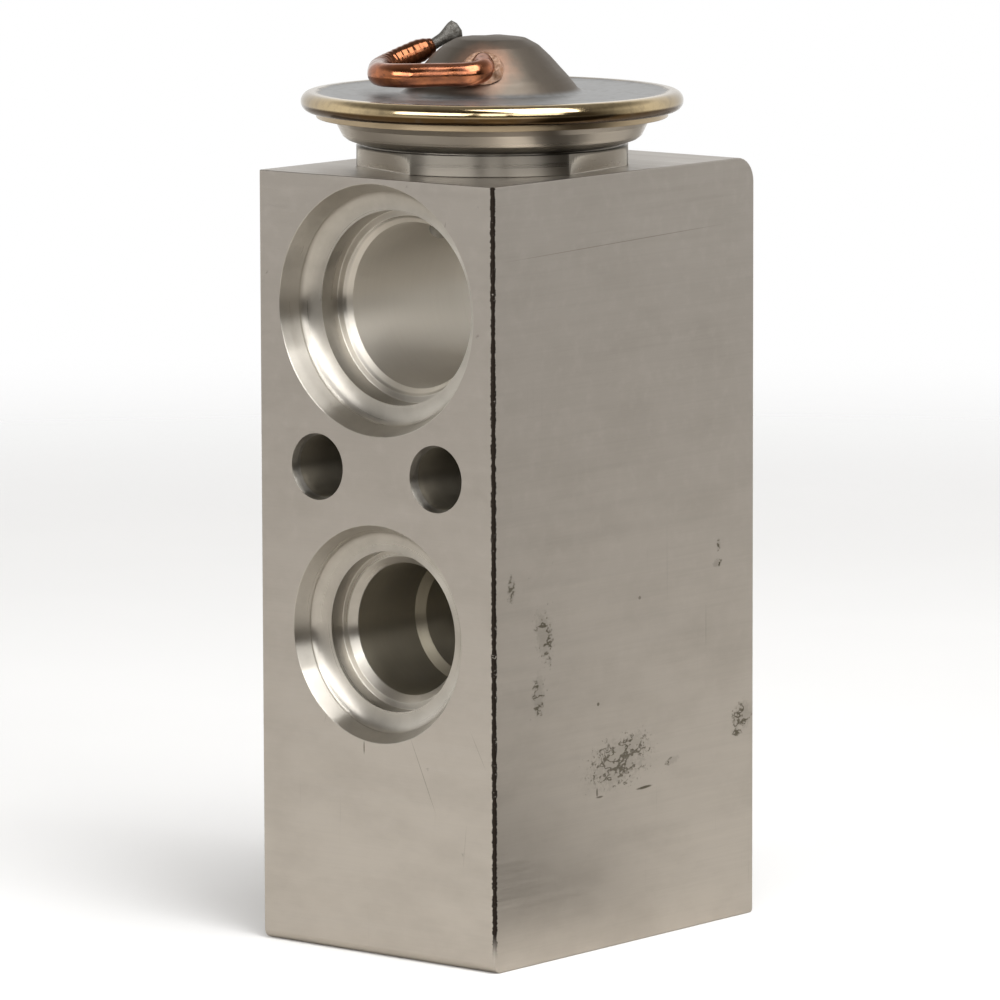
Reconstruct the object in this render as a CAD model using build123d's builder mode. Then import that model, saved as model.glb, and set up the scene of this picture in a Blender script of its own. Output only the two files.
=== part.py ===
"""Block-type thermostatic expansion valve for a refrigerant circuit.

A bar of aluminium is crossed by a suction passage, a liquid outlet and a liquid inlet.
The valve train stands upright through all three: diaphragm head on top, rods through
the suction passage, ball and spring in the chamber, adjusting screw at the bottom.
Millimetres, +Z up. X = 0 and Y = 0 are the middle of the block and Z = 0 is its base.
"""
from build123d import *
import os
from math import cos, radians, sin, sqrt

# ---------------------------------------------------------------- the block
BLOCK_WIDTH = 29.5            # along X, the cut length of the bar
BLOCK_DEPTH = 40.5            # along Y, from port face to port face
BLOCK_HEIGHT = 76.0
TOP_BACK_RADIUS = 2.5         # corner radii of the bar's section
BOTTOM_FRONT_RADIUS = 0.9
BOTTOM_BACK_RADIUS = 0.4
EDGE_BREAK = 0.15             # on the upright edges
AXIS_Y = -2.5                 # the upright valve axis stands nearer the outlet face

# ---------------------------------------------------------------- the ports
SUCTION_Z = 63.2              # the passage runs straight through the block
OUTLET_Z = 31.65              # liquid outlet, on the front face
INLET_Z = 19.5                # liquid inlet, on the back face
SUCTION_BORE_R = 8.1
OUTLET_BORE_R = 6.5
OUTLET_BORE_DEPTH = 13.4
OUTLET_DRILL_R = 5.7          # the narrower drilling from the outlet bore to the axis
INLET_BORE_R = 5.2
# steps outside each bore: shoulder, seal sleeve, end of lead-in, mouth
FRONT_STEPS = (0.7, 1.38, 3.4, 4.1)
BACK_STEPS = (0.5, 1.0, 1.7, 2.1)
# depths below the face: end of lead-in, start of sleeve, end of sleeve
SUCTION_DEPTHS = (2.0, 3.1, 5.45)
LIQUID_DEPTHS = (1.5, 2.4, 4.1)
SEAT_SAG = 0.35               # hollow of the curved step between lead-in and sleeve

BOLT_Z = 47.46
BOLT_SPACING = 15.0
BOLT_HOLE_R = 3.05
BOLT_LEAD = 0.22              # the mouths open out by this much over the lead's depth
BOLT_LEAD_DEPTH = 0.85

# ---------------------------------------------------------------- the upright bores
ADJUSTER_BORE_R = 6.65        # threaded mouth of the chamber
ADJUSTER_BORE_TOP = 7.2
ADJUSTER_MOUTH = 0.6          # countersink at the base
CHAMBER_R = 6.1
CHAMBER_ROOF = 23.4
GUIDE_R = 2.86                # bore that the sensing rod's foot slides in
SEAL_FLOOR = 43.0             # the rod seal sits on this step
HEAD_OPENING_R = 6.2          # lets suction pressure up to the diaphragm
HEAD_RECESS_R = 10.1
HEAD_RECESS_DEPTH = 3.8
HEAD_SEAL_COUNTERSINK = 1.7
STAKE_INSET = 1.35            # punch marks that lock the adjusting screw
STAKE_MARK_R = 0.7
STAKE_COUNT = 3

# ---------------------------------------------------------------- fits
FIT = 0.02                    # press and screwed fits, per side
RUNNING = 0.06                # sliding fits, per side
SEAL_CLEARANCE = 0.03         # rubber rings, per side
THREAD_GAP = 0.1
STOP_GAP = 0.3                # kept free at the end of the stroke
SMALL_CHAMFER = 0.4

# ---------------------------------------------------------------- valve train
STROKE = 0.8                  # opening travel of the ball, downwards
ORIFICE_R = 2.1
SEAT_WALL = 1.5
SEAT_SLEEVE = 2.2
SEAT_FLANGE = 0.8
SEAT_FLANGE_RIM = 1.0
SEAT_COUNTERSINK = 0.5
BALL_R = 2.8
BALL_GAP = 0.06               # between ball and seat when shut
CARRIER_WALL = 0.7
CARRIER_CUP = 2.1
CARRIER_FLANGE = 1.0
CUP_BELOW_CENTRE = 0.23       # the cup's rim lies this far below the ball's centre
SPRING_R = 4.2                # to the middle of the wire
SPRING_WIRE_R = 0.5
SPRING_TURNS = 4.5
SPRING_SIDE_GAP = 0.3         # from the coil to its spigots and to the flange's rim
SPIGOT = 1.5
DAMPER_THICKNESS = 0.25
DAMPER_LEG_WIDTH = 1.8
DAMPER_LEG = 2.6
DAMPER_LEGS = 4
PUSH_ROD_R = 1.2
PUSH_ROD_CHAMFER = 0.3
ROD_SOCKET_DEPTH = 4.0
ROD_FOOT = 7.6                # guided length of the sensing rod
ROD_STEM_R = 1.6              # above it, across the suction passage
CLIP_THICKNESS = 0.4

# ---------------------------------------------------------------- adjusting screw
SCREW_FOOT = 0.8              # the screw sits this far inside the base
SCREW_RELIEF = 0.2            # from the thread's end to the step in the bore
LAND = 1.1                    # plain lands below and above the seal groove
SEAL_GROOVE = 1.9
SEAL_GROOVE_DEPTH = 1.5
HEX_SOCKET = 5.0              # across flats
HEX_SOCKET_DEPTH = 3.2

# ---------------------------------------------------------------- diaphragm head
COLLAR_R = 13.3
COLLAR = 2.05
COLLAR_FLAT = 12.06           # from the axis to each spanner flat
COLLAR_FLATS = 3
COLLAR_TURN = 8.4             # degrees from +X to the first flat
NECK_R = 12.75
NECK = 0.2
CUP_FOOT_R = 13.4
CUP_HEIGHT = 2.5              # from the neck to the lip
RIM_R = 18.7                  # the rolled edge of the cap
RIM_HEIGHT = 1.95
LIP_INSET = 1.5               # the lip below the rolled edge stands back from it
CUP_INSET = 1.5               # and the cup's wall stands back from the lip
LIP = 0.6
CAP_SHEET = 0.6
RIM_PROUD = 0.1
RIM_LAND = 1.5
DIAPHRAGM = 0.15
CLAMP_WIDTH = 2.68            # ring in which the diaphragm is held
CONVOLUTION_MARGIN = 0.7      # from the clamped ring to the convolution
CONVOLUTION_WIDTH = 2.6
CONVOLUTION_DEPTH = 0.4
PAD_MARGIN = 0.6              # from the convolution to the pad's edge
CAVITY_MARGIN = 1.1           # from the pad's edge to the foot of the cup's inside wall
EQUALISER_R = 7.0
PAD = 1.1
PAD_HUB_WALL = 1.8
PAD_HUB = 2.8
DOME_TOP_R = 2.2
DOME_SHOULDER_R = 7.7
DOME_FOOT_R = 8.3
DOME_HEIGHT = 5.5             # above the cap's flat
DOME_SHOULDER_HEIGHT = 1.45
DOME_BULGE = 0.6
DOME_TOP_FILLET = 2.0
DOME_FOOT_FILLET = 0.8

# ---------------------------------------------------------------- charge tube
TUBE_R = 1.17
TUBE_BORE_R = 0.6
TUBE_TURN = 39.6              # degrees from +X to the tube's long run
# route in the head's own directions: along the long run, away from it, above the flat
TUBE_ROUTE = [(-0.9, -4.9, 3.15), (-0.9, -8.7, 2.5), (-11.0, -8.1, 2.2),
              (-11.0, 2.1, 2.6), (-5.9, 3.1, 4.85)]
TUBE_BENDS = [1.7, 3.8, 3.2]
PINCH_LENGTH = 2.9
PINCH_RISE = 1.3              # the pinched end points up a little along its length
PINCH_LEAN = 0.5              # and its flat leans back
PINCH_WIDTH = 2.6
PINCH_THICKNESS = 1.0
SOLDER = 0.3                  # thickness of the solder over the pinched end
BRAZE_R = 2.2
BRAZE_HEIGHT = 0.5
BRAZE_SINK = 0.3

os.makedirs("parts", exist_ok=True)

front_y = -BLOCK_DEPTH / 2
back_y = BLOCK_DEPTH / 2
valve_axis = Axis((0, AXIS_Y, 0), (0, 0, 1))
# half-section plane of everything that is turned about the valve axis
turning = Plane(origin=(0, AXIS_Y, 0), x_dir=(1, 0, 0), z_dir=(0, -1, 0))


def save(piece, name):
    """Label a finished piece and write its own STEP file."""
    piece.part.label = name
    export_step(piece.part, "parts/" + name + ".step")


def level(height):
    """Horizontal plane at a height, centred on the valve axis."""
    return Plane(origin=(0, AXIS_Y, height))


def port_cut(face_y, inward, height, bore_r, bore_end, steps, depths):
    """Turn one port's stepped half-section about the port's axis and cut it."""
    section = Plane(origin=(0, face_y, height), x_dir=(0, inward, 0), z_dir=(inward, 0, 0))
    shoulder_r, sleeve_r, lead_r, mouth_r = [bore_r + step for step in steps]
    lead_end, sleeve_start, sleeve_end = depths
    chamfer_end = sleeve_end + shoulder_r - bore_r
    with BuildSketch(section) as outline:
        with BuildLine():
            Polyline((lead_end, lead_r), (0, mouth_r), (0, 0), (bore_end, 0),
                     (bore_end, bore_r), (chamfer_end, bore_r), (sleeve_end, shoulder_r),
                     (sleeve_end, sleeve_r), (sleeve_start, sleeve_r))
            SagittaArc((sleeve_start, sleeve_r), (lead_end, lead_r), -SEAT_SAG)
        make_face()
    revolve(outline.sketch, axis=Axis((0, face_y, height), (0, inward, 0)), mode=Mode.SUBTRACT)


# ================================================================ valve block
head_recess_floor = BLOCK_HEIGHT - HEAD_RECESS_DEPTH
stub_r = HEAD_RECESS_R - THREAD_GAP
seat_sleeve_r = ORIFICE_R + SEAT_WALL
seat_bore_r = seat_sleeve_r + FIT
push_guide_r = PUSH_ROD_R + RUNNING

with BuildPart() as valve_block:
    # the extruded bar, its section drawn in YZ and cut to length along X
    with BuildSketch(Plane.YZ.offset(-BLOCK_WIDTH / 2)):
        with Locations((0, BLOCK_HEIGHT / 2)):
            Rectangle(BLOCK_DEPTH, BLOCK_HEIGHT)
        fillet(vertices().sort_by_distance((back_y, BLOCK_HEIGHT))[0], TOP_BACK_RADIUS)
        fillet(vertices().sort_by_distance((front_y, 0))[0], BOTTOM_FRONT_RADIUS)
        fillet(vertices().sort_by_distance((back_y, 0))[0], BOTTOM_BACK_RADIUS)
    extrude(amount=BLOCK_WIDTH)
    chamfer(edges().filter_by(Axis.Z), EDGE_BREAK)

    # suction passage, cut from both faces so that each end has its own seat
    port_cut(front_y, 1, SUCTION_Z, SUCTION_BORE_R, back_y, FRONT_STEPS, SUCTION_DEPTHS)
    port_cut(back_y, -1, SUCTION_Z, SUCTION_BORE_R, back_y, BACK_STEPS, SUCTION_DEPTHS)
    # liquid outlet to the front, liquid inlet from the back
    port_cut(front_y, 1, OUTLET_Z, OUTLET_BORE_R, OUTLET_BORE_DEPTH, FRONT_STEPS,
             LIQUID_DEPTHS)
    port_cut(back_y, -1, INLET_Z, INLET_BORE_R, back_y - AXIS_Y, BACK_STEPS, LIQUID_DEPTHS)

    # drilling from the outlet bore across the valve axis, with a drill's point
    drill_chamfer = OUTLET_BORE_R - OUTLET_DRILL_R
    drill_end = AXIS_Y - front_y + ORIFICE_R
    with BuildSketch(Plane(origin=(0, front_y, OUTLET_Z), x_dir=(0, 1, 0), z_dir=(1, 0, 0))):
        with BuildLine():
            Polyline((OUTLET_BORE_DEPTH - drill_chamfer, 0),
                     (OUTLET_BORE_DEPTH - drill_chamfer, OUTLET_BORE_R),
                     (OUTLET_BORE_DEPTH, OUTLET_BORE_R),
                     (OUTLET_BORE_DEPTH + drill_chamfer, OUTLET_DRILL_R),
                     (drill_end, OUTLET_DRILL_R),
                     (drill_end + OUTLET_DRILL_R / 2, 0), close=True)
        make_face()
    revolve(axis=Axis((0, front_y, OUTLET_Z), (0, 1, 0)), mode=Mode.SUBTRACT)

    # everything turned about the upright axis, from the base to the head recess
    countersink_r = stub_r + HEAD_SEAL_COUNTERSINK
    countersink_z = BLOCK_HEIGHT - (countersink_r - HEAD_RECESS_R)
    with BuildSketch(turning):
        with BuildLine():
            Polyline((0, 0), (ADJUSTER_BORE_R + ADJUSTER_MOUTH, 0),
                     (ADJUSTER_BORE_R, ADJUSTER_MOUTH),
                     (ADJUSTER_BORE_R, ADJUSTER_BORE_TOP - (ADJUSTER_BORE_R - CHAMBER_R)),
                     (CHAMBER_R, ADJUSTER_BORE_TOP), (CHAMBER_R, CHAMBER_ROOF),
                     (seat_bore_r, CHAMBER_ROOF), (seat_bore_r, OUTLET_Z),
                     (push_guide_r, OUTLET_Z), (push_guide_r, SEAL_FLOOR),
                     (GUIDE_R, SEAL_FLOOR), (GUIDE_R, SUCTION_Z),
                     (HEAD_OPENING_R, SUCTION_Z), (HEAD_OPENING_R, head_recess_floor),
                     (HEAD_RECESS_R, head_recess_floor), (HEAD_RECESS_R, countersink_z),
                     (countersink_r, BLOCK_HEIGHT), (0, BLOCK_HEIGHT), close=True)
        make_face()
    revolve(axis=valve_axis, mode=Mode.SUBTRACT)

    # two clearance holes for the flange screws, right through between the ports
    bolt_mouth_r = BOLT_HOLE_R + BOLT_LEAD
    for bolt_x in (-BOLT_SPACING / 2, BOLT_SPACING / 2):
        bolt_start = (bolt_x, front_y, BOLT_Z)
        with BuildSketch(Plane(origin=bolt_start, x_dir=(0, 1, 0), z_dir=(1, 0, 0))):
            with BuildLine():
                Polyline((0, 0), (0, bolt_mouth_r), (BOLT_LEAD_DEPTH, BOLT_HOLE_R),
                         (BLOCK_DEPTH - BOLT_LEAD_DEPTH, BOLT_HOLE_R),
                         (BLOCK_DEPTH, bolt_mouth_r), (BLOCK_DEPTH, 0), close=True)
            make_face()
        revolve(axis=Axis(bolt_start, (0, 1, 0)), mode=Mode.SUBTRACT)

    # punch marks round the adjusting screw
    with Locations(level(0)):
        with PolarLocations(ADJUSTER_BORE_R + ADJUSTER_MOUTH + STAKE_INSET, STAKE_COUNT, 90):
            Sphere(STAKE_MARK_R, mode=Mode.SUBTRACT)
save(valve_block, "valve_block")

# ================================================================ seat, ball and carrier
seat_foot = CHAMBER_ROOF - SEAT_FLANGE
seat_edge = seat_foot + SEAT_COUNTERSINK
seat_flange_r = seat_sleeve_r + SEAT_FLANGE_RIM
ball_z = seat_edge - sqrt(BALL_R**2 - ORIFICE_R**2) - BALL_GAP
cup_r = BALL_R + CARRIER_WALL
cup_rim = ball_z - CUP_BELOW_CENTRE
flange_top = cup_rim - CARRIER_CUP
flange_foot = flange_top - CARRIER_FLANGE
flange_r = SPRING_R + SPRING_WIRE_R + SPRING_SIDE_GAP
spigot_r = SPRING_R - SPRING_WIRE_R - SPRING_SIDE_GAP

with BuildPart() as orifice_seat:
    with BuildSketch(turning):
        with BuildLine():
            Polyline((ORIFICE_R, seat_edge), (ORIFICE_R + SEAT_COUNTERSINK, seat_foot),
                     (seat_flange_r, seat_foot), (seat_flange_r, CHAMBER_ROOF),
                     (seat_sleeve_r, CHAMBER_ROOF), (seat_sleeve_r, CHAMBER_ROOF + SEAT_SLEEVE),
                     (ORIFICE_R, CHAMBER_ROOF + SEAT_SLEEVE), close=True)
        make_face()
    revolve(axis=valve_axis)
save(orifice_seat, "orifice_seat")

with BuildPart() as valve_ball:
    with Locations(level(ball_z)):
        Sphere(BALL_R)
save(valve_ball, "valve_ball")

with BuildPart() as ball_carrier:
    with BuildSketch(turning):
        with BuildLine():
            Polyline((0, flange_foot - SPIGOT), (spigot_r - SMALL_CHAMFER, flange_foot - SPIGOT),
                     (spigot_r, flange_foot - SPIGOT + SMALL_CHAMFER), (spigot_r, flange_foot),
                     (flange_r, flange_foot), (flange_r, flange_top), (cup_r, flange_top),
                     (cup_r, cup_rim), (0, cup_rim), close=True)
        make_face()
    revolve(axis=valve_axis)
    with Locations(level(ball_z)):
        Sphere(BALL_R + FIT, mode=Mode.SUBTRACT)
save(ball_carrier, "ball_carrier")

with BuildPart() as damping_spring:
    # a washer over the carrier's cup, with sprung legs that rub on the chamber wall
    leg_in = cup_r + SPRING_SIDE_GAP
    leg_out = sqrt((CHAMBER_R - RUNNING)**2 - (DAMPER_LEG_WIDTH / 2)**2)
    leg_foot = flange_top - DAMPER_LEG
    ring_top = flange_top + DAMPER_THICKNESS
    with BuildSketch(level(flange_top)):
        Circle(flange_r)
        Circle(cup_r + RUNNING, mode=Mode.SUBTRACT)
    extrude(amount=DAMPER_THICKNESS)
    for leg in range(DAMPER_LEGS):
        leg_angle = radians(45 + leg * 360 / DAMPER_LEGS)
        leg_plane = Plane(origin=(0, AXIS_Y, 0), x_dir=(cos(leg_angle), sin(leg_angle), 0),
                          z_dir=(sin(leg_angle), -cos(leg_angle), 0))
        with BuildSketch(leg_plane):
            with BuildLine():
                Polyline((leg_in, flange_top), (leg_in, ring_top), (leg_out, ring_top),
                         (leg_out, leg_foot), (leg_out - DAMPER_THICKNESS, leg_foot),
                         (leg_out - DAMPER_THICKNESS, flange_top), close=True)
            make_face()
        extrude(amount=DAMPER_LEG_WIDTH / 2, both=True)
save(damping_spring, "damping_spring")

# ================================================================ adjusting screw and spring
screw_r = ADJUSTER_BORE_R - THREAD_GAP
plug_r = CHAMBER_R - RUNNING
groove_r = CHAMBER_R - SEAL_GROOVE_DEPTH
groove_foot = ADJUSTER_BORE_TOP + LAND
groove_top = groove_foot + SEAL_GROOVE
screw_top = groove_top + LAND
thread_top = ADJUSTER_BORE_TOP - (ADJUSTER_BORE_R - CHAMBER_R) - SCREW_RELIEF

with BuildPart() as adjusting_screw:
    with BuildSketch(turning):
        with BuildLine():
            Polyline((0, SCREW_FOOT), (screw_r - SMALL_CHAMFER, SCREW_FOOT),
                     (screw_r, SCREW_FOOT + SMALL_CHAMFER), (screw_r, thread_top - SMALL_CHAMFER),
                     (plug_r - RUNNING, thread_top), (plug_r - RUNNING, ADJUSTER_BORE_TOP),
                     (plug_r, ADJUSTER_BORE_TOP + RUNNING), (plug_r, groove_foot),
                     (groove_r, groove_foot), (groove_r, groove_top), (plug_r, groove_top),
                     (plug_r, screw_top), (spigot_r, screw_top),
                     (spigot_r, screw_top + SPIGOT - SMALL_CHAMFER),
                     (spigot_r - SMALL_CHAMFER, screw_top + SPIGOT), (0, screw_top + SPIGOT),
                     close=True)
        make_face()
    revolve(axis=valve_axis)
    with BuildSketch(level(SCREW_FOOT)):
        RegularPolygon(HEX_SOCKET / 2, 6, major_radius=False)
    extrude(amount=HEX_SOCKET_DEPTH, mode=Mode.SUBTRACT)
save(adjusting_screw, "adjusting_screw")


def seal_ring(inner_r, outer_r, height):
    """A round rubber ring that fills the gap between a shaft or groove and its wall."""
    cord_r = (outer_r - inner_r) / 2 - SEAL_CLEARANCE
    with BuildPart() as ring:
        with Locations(level(height)):
            Torus((outer_r + inner_r) / 2, cord_r)
    return ring


adjuster_seal = seal_ring(groove_r, CHAMBER_R, groove_foot + SEAL_GROOVE / 2)
save(adjuster_seal, "adjuster_seal")

with BuildPart() as valve_spring:
    # the end coils lie half in the seats and are ground flat to them
    spring_height = flange_foot - screw_top
    coil = Helix(spring_height / SPRING_TURNS, spring_height, SPRING_R,
                 center=(0, AXIS_Y, screw_top))
    with BuildSketch(Plane(origin=coil @ 0, z_dir=coil % 0)):
        Circle(SPRING_WIRE_R)
    sweep(path=coil, is_frenet=True)
    with BuildSketch(level(screw_top)):
        Circle(CHAMBER_R)
    extrude(amount=spring_height, mode=Mode.INTERSECT)
save(valve_spring, "valve_spring")

# ================================================================ rods and their seal
seal_cord = GUIDE_R - PUSH_ROD_R
clip_z = SEAL_FLOOR + seal_cord + SEAL_CLEARANCE
sensing_foot = clip_z + CLIP_THICKNESS + STROKE + STOP_GAP
socket_top = sensing_foot + ROD_SOCKET_DEPTH

collar_top = BLOCK_HEIGHT + COLLAR
cup_foot = collar_top + NECK
lip_foot = cup_foot + CUP_HEIGHT
rim_foot = lip_foot + LIP
rim_top = rim_foot + RIM_HEIGHT
slot_floor = rim_foot + CAP_SHEET
slot_roof = rim_top - CAP_SHEET
slot_r = RIM_R - CAP_SHEET
diaphragm_foot = slot_roof - DIAPHRAGM
pad_top = diaphragm_foot - SEAL_CLEARANCE
pad_foot = pad_top - PAD
rod_top = pad_top - PAD / 2

with BuildPart() as push_rod:
    rod_foot = ball_z + BALL_R + FIT
    with BuildSketch(level(rod_foot)):
        Circle(PUSH_ROD_R)
    extrude(amount=socket_top - rod_foot)
    chamfer(edges().group_by(Axis.Z)[-1], PUSH_ROD_CHAMFER)
save(push_rod, "push_rod")

with BuildPart() as sensing_rod:
    # a guided foot, then a slimmer stem up to the pad
    with BuildSketch(level(sensing_foot)):
        Circle(GUIDE_R - RUNNING)
    extrude(amount=ROD_FOOT)
    chamfer(edges().group_by(Axis.Z)[0], SMALL_CHAMFER)
    chamfer(edges().group_by(Axis.Z)[-1], SMALL_CHAMFER)
    with BuildSketch(level(sensing_foot)):
        Circle(ROD_STEM_R)
    extrude(amount=rod_top - sensing_foot)
    chamfer(edges().group_by(Axis.Z)[-1], SMALL_CHAMFER)
    with BuildSketch(level(sensing_foot)):
        Circle(PUSH_ROD_R + FIT)
    extrude(amount=ROD_SOCKET_DEPTH, mode=Mode.SUBTRACT)
save(sensing_rod, "sensing_rod")

rod_seal = seal_ring(PUSH_ROD_R, GUIDE_R, SEAL_FLOOR + seal_cord / 2)
save(rod_seal, "rod_seal")

with BuildPart() as seal_clip:
    with BuildSketch(level(clip_z)):
        Circle(GUIDE_R - FIT)
        Circle(PUSH_ROD_R + STOP_GAP, mode=Mode.SUBTRACT)
    extrude(amount=CLIP_THICKNESS)
save(seal_clip, "seal_clip")

# ================================================================ head, lower half
cavity_floor = pad_foot - STROKE - STOP_GAP
stub_foot = head_recess_floor + THREAD_GAP
# from the rolled edge inwards: flange, lip, cup, cavity, convolution, pad
flange_edge = slot_r - FIT
lip_r = RIM_R - LIP_INSET
cup_top_r = lip_r - CUP_INSET
cavity_r = flange_edge - CLAMP_WIDTH
convolution_outer = cavity_r - CONVOLUTION_MARGIN
convolution_inner = convolution_outer - CONVOLUTION_WIDTH
pad_r = convolution_inner - PAD_MARGIN
cavity_floor_r = pad_r + CAVITY_MARGIN

with BuildPart() as lower_housing:
    with BuildSketch(turning):
        with BuildLine():
            Polyline((EQUALISER_R, stub_foot), (stub_r - SMALL_CHAMFER, stub_foot),
                     (stub_r, stub_foot + SMALL_CHAMFER), (stub_r, BLOCK_HEIGHT),
                     (COLLAR_R, BLOCK_HEIGHT), (COLLAR_R, collar_top), (NECK_R, collar_top),
                     (NECK_R, cup_foot), (CUP_FOOT_R, cup_foot + (CUP_FOOT_R - NECK_R)),
                     (cup_top_r, lip_foot), (lip_r, lip_foot), (lip_r, slot_floor + FIT),
                     (flange_edge, slot_floor + FIT), (flange_edge, diaphragm_foot),
                     (cavity_r, diaphragm_foot), (cavity_floor_r, cavity_floor),
                     (EQUALISER_R, cavity_floor), close=True)
        make_face()
    revolve(axis=valve_axis)
    # spanner flats milled on the collar
    for flat in range(COLLAR_FLATS):
        flat_angle = radians(COLLAR_TURN + flat * 360 / COLLAR_FLATS)
        flat_plane = Plane(origin=(COLLAR_FLAT * cos(flat_angle),
                                   AXIS_Y + COLLAR_FLAT * sin(flat_angle),
                                   BLOCK_HEIGHT + COLLAR / 2),
                           x_dir=(-sin(flat_angle), cos(flat_angle), 0),
                           z_dir=(cos(flat_angle), sin(flat_angle), 0))
        with BuildSketch(flat_plane):
            Rectangle(COLLAR_R * 2, COLLAR)
        extrude(amount=COLLAR_R - COLLAR_FLAT, mode=Mode.SUBTRACT)
save(lower_housing, "lower_housing")

# the ring lies in the countersink under the collar, touching none of its three walls
seal_inset = HEAD_SEAL_COUNTERSINK * (1 - sqrt(0.5))
with BuildPart() as head_seal:
    with Locations(level(BLOCK_HEIGHT - seal_inset)):
        Torus(stub_r + seal_inset, seal_inset - SEAL_CLEARANCE)
save(head_seal, "head_seal")

with BuildPart() as diaphragm_pad:
    hub_foot = pad_foot - PAD_HUB
    socket_r = ROD_STEM_R + FIT
    hub_r = ROD_STEM_R + PAD_HUB_WALL
    with BuildSketch(turning):
        with BuildLine():
            Polyline((0, rod_top + FIT), (socket_r, rod_top + FIT), (socket_r, hub_foot),
                     (hub_r, hub_foot), (hub_r, pad_foot), (pad_r, pad_foot),
                     (pad_r, pad_top - SMALL_CHAMFER), (pad_r - SMALL_CHAMFER, pad_top),
                     (0, pad_top), close=True)
        make_face()
    revolve(axis=valve_axis)
save(diaphragm_pad, "diaphragm_pad")

with BuildPart() as diaphragm:
    # a flat disc with one pressed convolution outside the pad
    with BuildSketch(turning):
        with BuildLine():
            Line((0, slot_roof), (convolution_inner, slot_roof))
            SagittaArc((convolution_inner, slot_roof), (convolution_outer, slot_roof),
                       -CONVOLUTION_DEPTH)
            Polyline((convolution_outer, slot_roof), (flange_edge, slot_roof),
                     (flange_edge, diaphragm_foot), (convolution_outer, diaphragm_foot))
            SagittaArc((convolution_outer, diaphragm_foot),
                       (convolution_inner, diaphragm_foot), CONVOLUTION_DEPTH)
            Polyline((convolution_inner, diaphragm_foot), (0, diaphragm_foot), (0, slot_roof))
        make_face()
    revolve(axis=valve_axis)
save(diaphragm, "diaphragm")

# ================================================================ charge tube
flat_top = rim_top - RIM_PROUD
along_run = Vector(cos(radians(TUBE_TURN)), sin(radians(TUBE_TURN)), 0)
away_from_run = Vector(-along_run.Y, along_run.X, 0)
head_centre = Vector(0, AXIS_Y, flat_top)
route = [head_centre + along_run * u + away_from_run * v + Vector(0, 0, rise)
         for u, v, rise in TUBE_ROUTE]
pinch_direction = (along_run * PINCH_LENGTH + Vector(0, 0, PINCH_RISE)).normalized()
pinch_side = (away_from_run + Vector(0, 0, PINCH_LEAN)).cross(pinch_direction)
pinch_flat = pinch_direction.cross(pinch_side).normalized()


def pinched_end(start_r, width, thickness, length):
    """Loft a round tube end into a flat one."""
    start = Plane(origin=route[-1], x_dir=pinch_flat, z_dir=pinch_direction)
    with BuildSketch(start) as root:
        Circle(start_r)
    with BuildSketch(start.offset(length)) as tip:
        Ellipse(width / 2, thickness / 2)
    loft([root.sketch, tip.sketch])


with BuildPart() as charge_tube:
    with BuildLine() as tube_path:
        FilletPolyline(*route, radius=TUBE_BENDS)
    with BuildSketch(Plane(origin=route[0], z_dir=tube_path.line % 0)):
        Circle(TUBE_R)
        Circle(TUBE_BORE_R, mode=Mode.SUBTRACT)
    sweep(path=tube_path.line)
    pinched_end(TUBE_R, PINCH_WIDTH, PINCH_THICKNESS, PINCH_LENGTH)
save(charge_tube, "charge_tube")

with BuildPart() as tip_solder:
    pinched_end(TUBE_R + SOLDER, PINCH_WIDTH + SOLDER, PINCH_THICKNESS + 2 * SOLDER,
                PINCH_LENGTH + SOLDER)
    add(charge_tube.part, mode=Mode.SUBTRACT)
save(tip_solder, "tip_solder")

# ================================================================ head, cap
dome_top = flat_top + DOME_HEIGHT
shoulder_z = flat_top + DOME_SHOULDER_HEIGHT
rim_round = RIM_HEIGHT / 2
land_r = RIM_R - RIM_LAND
inner_top = (DOME_TOP_R - CAP_SHEET / 4, dome_top - CAP_SHEET)
inner_shoulder = (DOME_SHOULDER_R - CAP_SHEET, shoulder_z - CAP_SHEET / 4)

with BuildPart() as upper_housing:
    # one pressed sheet: dome, flat, and an edge rolled round the lower housing's flange
    with BuildSketch(turning):
        with BuildLine():
            Line((0, dome_top), (DOME_TOP_R, dome_top))
            SagittaArc((DOME_TOP_R, dome_top), (DOME_SHOULDER_R, shoulder_z), DOME_BULGE)
            Polyline((DOME_SHOULDER_R, shoulder_z), (DOME_FOOT_R, flat_top),
                     (land_r - RIM_PROUD, flat_top), (land_r, rim_top),
                     (RIM_R - rim_round, rim_top))
            ThreePointArc((RIM_R - rim_round, rim_top), (RIM_R, rim_top - rim_round),
                          (RIM_R - rim_round, rim_foot))
            Polyline((RIM_R - rim_round, rim_foot), (lip_r + FIT, rim_foot),
                     (lip_r + FIT, slot_floor), (slot_r, slot_floor), (slot_r, slot_roof),
                     (DOME_FOOT_R - CAP_SHEET, slot_roof), inner_shoulder)
            SagittaArc(inner_shoulder, inner_top, -DOME_BULGE)
            Polyline(inner_top, (0, dome_top - CAP_SHEET), (0, dome_top))
        make_face()
        fillet(vertices().sort_by_distance((DOME_TOP_R, dome_top))[0], DOME_TOP_FILLET)
        fillet(vertices().sort_by_distance((DOME_FOOT_R, flat_top))[0], DOME_FOOT_FILLET)
    revolve(axis=valve_axis)
    tube_in_sheet = Edge.make_line(route[0], route[1]).intersect(upper_housing.part)
    # hole for the charge tube
    with BuildSketch(Plane(origin=route[0], z_dir=tube_path.line % 0)):
        Circle(TUBE_R)
    sweep(path=tube_path.line, mode=Mode.SUBTRACT)
save(upper_housing, "upper_housing")

# where the tube leaves the dome, and the dome's outward direction there
tube_exit = tube_in_sheet.vertices().sort_by_distance(route[1])[0]
exit_radial = (away_from_run * TUBE_ROUTE[1][1]).normalized()
dome_normal = (exit_radial * (dome_top - shoulder_z)
               + Vector(0, 0, DOME_SHOULDER_R - DOME_TOP_R)).normalized()

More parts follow.
